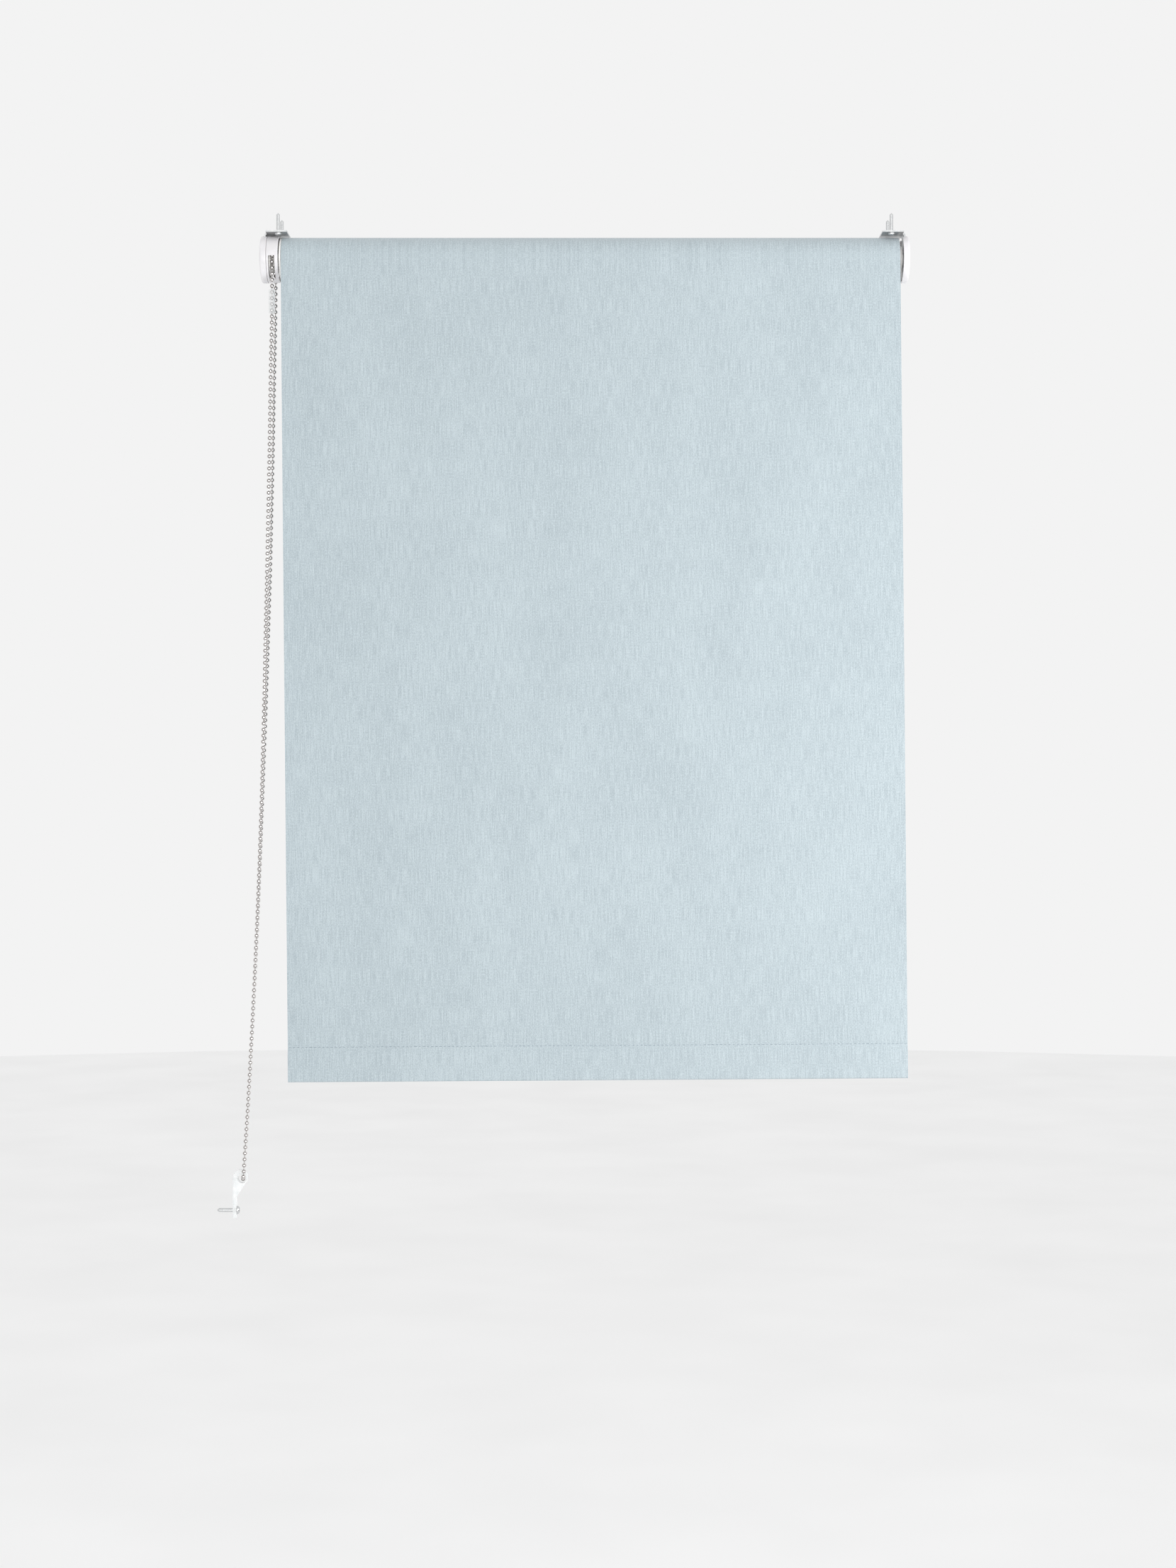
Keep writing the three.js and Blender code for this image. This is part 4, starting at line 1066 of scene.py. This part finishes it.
def hem_stitches():
    """Lockstitch through the hem: a run of short threads on the front and on the back."""
    stitch = bmesh.new()
    bmesh.ops.create_uvsphere(stitch, u_segments=8, v_segments=6, radius=THREAD_RADIUS,
                              matrix=Matrix.Diagonal((STITCH_LENGTH / (2 * THREAD_RADIUS),
                                                      1, 1, 1)))
    count = int(cloth_width / STITCH_PITCH)
    line_z = seam_z - STITCH_BELOW_SEAM
    sewn = Random(SEWING_SEED)
    places = []
    for y in (drop_y - CLOTH_THICKNESS * 0.85, drop_y + CLOTH_THICKNESS * 1.9):
        for i in range(count):
            x = cloth_left + (i + 0.5) * cloth_width / count
            place = Vector((x, y + sewn.uniform(-0.05, 0.05) * MM,
                            line_z + sewn.uniform(-0.12, 0.12) * MM))
            stretch = Matrix.Diagonal((sewn.uniform(0.72, 1.12), 1, 1, 1))
            places.append(Matrix.Translation(hang(place)) @ stretch)
    bm = copies(stitch, places)
    return finish_piece("hem_stitches", bm, THREAD, "hem", sharp=pi)


stitches = hem_stitches()


def weight_bar():
    """Extruded white bar in the hem, with rounded edges."""
    bm = block(lath_low, lath_high)
    long_edges = [e for e in bm.edges if abs(e.verts[0].co.x - e.verts[1].co.x) > 0.1]
    bmesh.ops.bevel(bm, geom=long_edges, offset=lath_half * 0.96, segments=5, profile=0.5,
                    affect="EDGES", material=-1)
    cuts = 12
    for i in range(1, cuts):
        x = lath_low.x + (lath_high.x - lath_low.x) * i / cuts
        bmesh.ops.bisect_plane(bm, geom=bm.verts[:] + bm.edges[:] + bm.faces[:],
                               plane_co=(x, 0, 0), plane_no=(1, 0, 0))
    for v in bm.verts:
        v.co = hang(v.co)
    return finish_piece("weight_bar", bm, ABS, "hem",
                        replaces=["bottom_lath"])


weight_bar()

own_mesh(drop)

# ---- chain tensioner ---------------------------------------------------------------------------


CLIP_RING = 7.5 * MM
CLIP_HOLE = 4.4 * MM
CLIP_HOLE_PLACE = (chain_x - 31.2 * MM, axis_z - 912.9 * MM)
CLIP_TAIL = 3.8 * MM
CLIP_SHOULDER_DROP = 19 * MM
CLIP_SHOULDER_ANGLE = radians(-36)
CLIP_FOOT_ROUND = 1.5 * MM
CLIP_SCREW_DROP = 32.7 * MM
CLIP_SCREW_HOLE = 2.3 * MM


def tensioner():
    """P-shaped clip: ring round the chain, flat back on the wall, tail for the screw."""
    wall = clip_low.x
    ring_x, ring_z = wall + CLIP_RING, clip_high.z - CLIP_RING
    hole_x, hole_z = CLIP_HOLE_PLACE
    tail, foot = wall + CLIP_TAIL, clip_low.z
    round_z = foot + CLIP_FOOT_ROUND
    outline = [Vector((wall, ring_z)), Vector((wall, round_z))]
    for cx, start in ((wall + CLIP_FOOT_ROUND, 180), (tail - CLIP_FOOT_ROUND, 270)):
        for k in range(1, 7):
            a = radians(start + 15 * k)
            outline.append(Vector((cx + CLIP_FOOT_ROUND * cos(a),
                                   round_z + CLIP_FOOT_ROUND * sin(a))))
    outline.append(Vector((tail, ring_z - CLIP_SHOULDER_DROP)))
    for k in range(33):
        a = CLIP_SHOULDER_ANGLE + (pi - CLIP_SHOULDER_ANGLE) * k / 33
        outline.append(Vector((ring_x + CLIP_RING * cos(a), ring_z + CLIP_RING * sin(a))))
    bm = prism(outline, (0, clip_high.y - clip_low.y, 0), lambda x, z: (x, clip_low.y, z))
    bore = rod((hole_x, clip_low.y - MM, hole_z), (hole_x, clip_high.y + MM, hole_z),
               CLIP_HOLE, 48)
    screw_z = ring_z - CLIP_SCREW_DROP
    drill = rod((wall - MM, 0, screw_z), (tail + MM, 0, screw_z), CLIP_SCREW_HOLE, 32)
    bm = combine(bm, [bore, drill], "DIFFERENCE")
    bm = softened(bm, 0.45 * MM)
    return finish_piece("chain_tensioner", bm, CLEAR_CLIP, "brackets",
                        replaces=["tensioner_clip"])


tensioner()

# ---- CAD nodes that keep their shape -----------------------------------------------------------


def dress(names, material):
    """Give CAD nodes a material."""
    for name in names:
        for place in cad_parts[name].material_slots:
            place.material = material


dress(["control_bracket", "idler_bracket"], ZINC)
dress(["control_head_screw_1", "control_head_screw_2", "idler_head_screw_1",
       "idler_head_screw_2", "tensioner_screw"], SCREW_ZINC)
dress(["clutch_spindle", "idler_bush"], NYLON)
dress(["wrap_spring_1", "wrap_spring_2", "retaining_ring", "idler_pin"], WIRE)
dress(["roller_tube"], ALUMINIUM)
dress(["fabric_spline"], ABS)

# ---- stage and light ---------------------------------------------------------------------------


FLOOR_RADIUS = 9
FLOOR_Z = -1.75


def floor():
    """A plain round floor below the blind."""
    bm = bmesh.new()
    bmesh.ops.create_circle(bm, cap_ends=True, segments=64, radius=FLOOR_RADIUS)
    bmesh.ops.translate(bm, verts=bm.verts, vec=(0, 0, FLOOR_Z))
    mesh = bpy.data.meshes.new("floor")
    bm.to_mesh(mesh)
    bm.free()
    mesh.materials.append(floor_paint())
    plane = bpy.data.objects.new("floor", mesh)
    bpy.context.scene.collection.objects.link(plane)


def softbox(name, place, aim, size, power):
    """A round soft light at a place, turned towards its aim."""
    data = bpy.data.lights.new(name, "AREA")
    data.shape = "DISK"
    data.size = size
    data.energy = power
    lamp = bpy.data.objects.new(name, data)
    lamp.location = place
    toward = Vector(aim) - Vector(place)
    lamp.rotation_euler = toward.to_track_quat("-Z", "Y").to_euler()
    bpy.context.scene.collection.objects.link(lamp)


floor()
softbox("front_light", (-0.1, -2.75, -0.3), (0, 0, -0.45), 0.7, 16)
softbox("key_right", (1.15, -0.85, -0.55), (0.2, 0, -0.5), 0.9, 9.5)

world = bpy.data.worlds.new("studio")
world.use_nodes = True
background = world.node_tree.nodes["Background"]
background.inputs["Color"].default_value = colour("#f3f3f3")
background.inputs["Strength"].default_value = 1.0
bpy.context.scene.world = world
bpy.context.scene.view_settings.view_transform = "Standard"
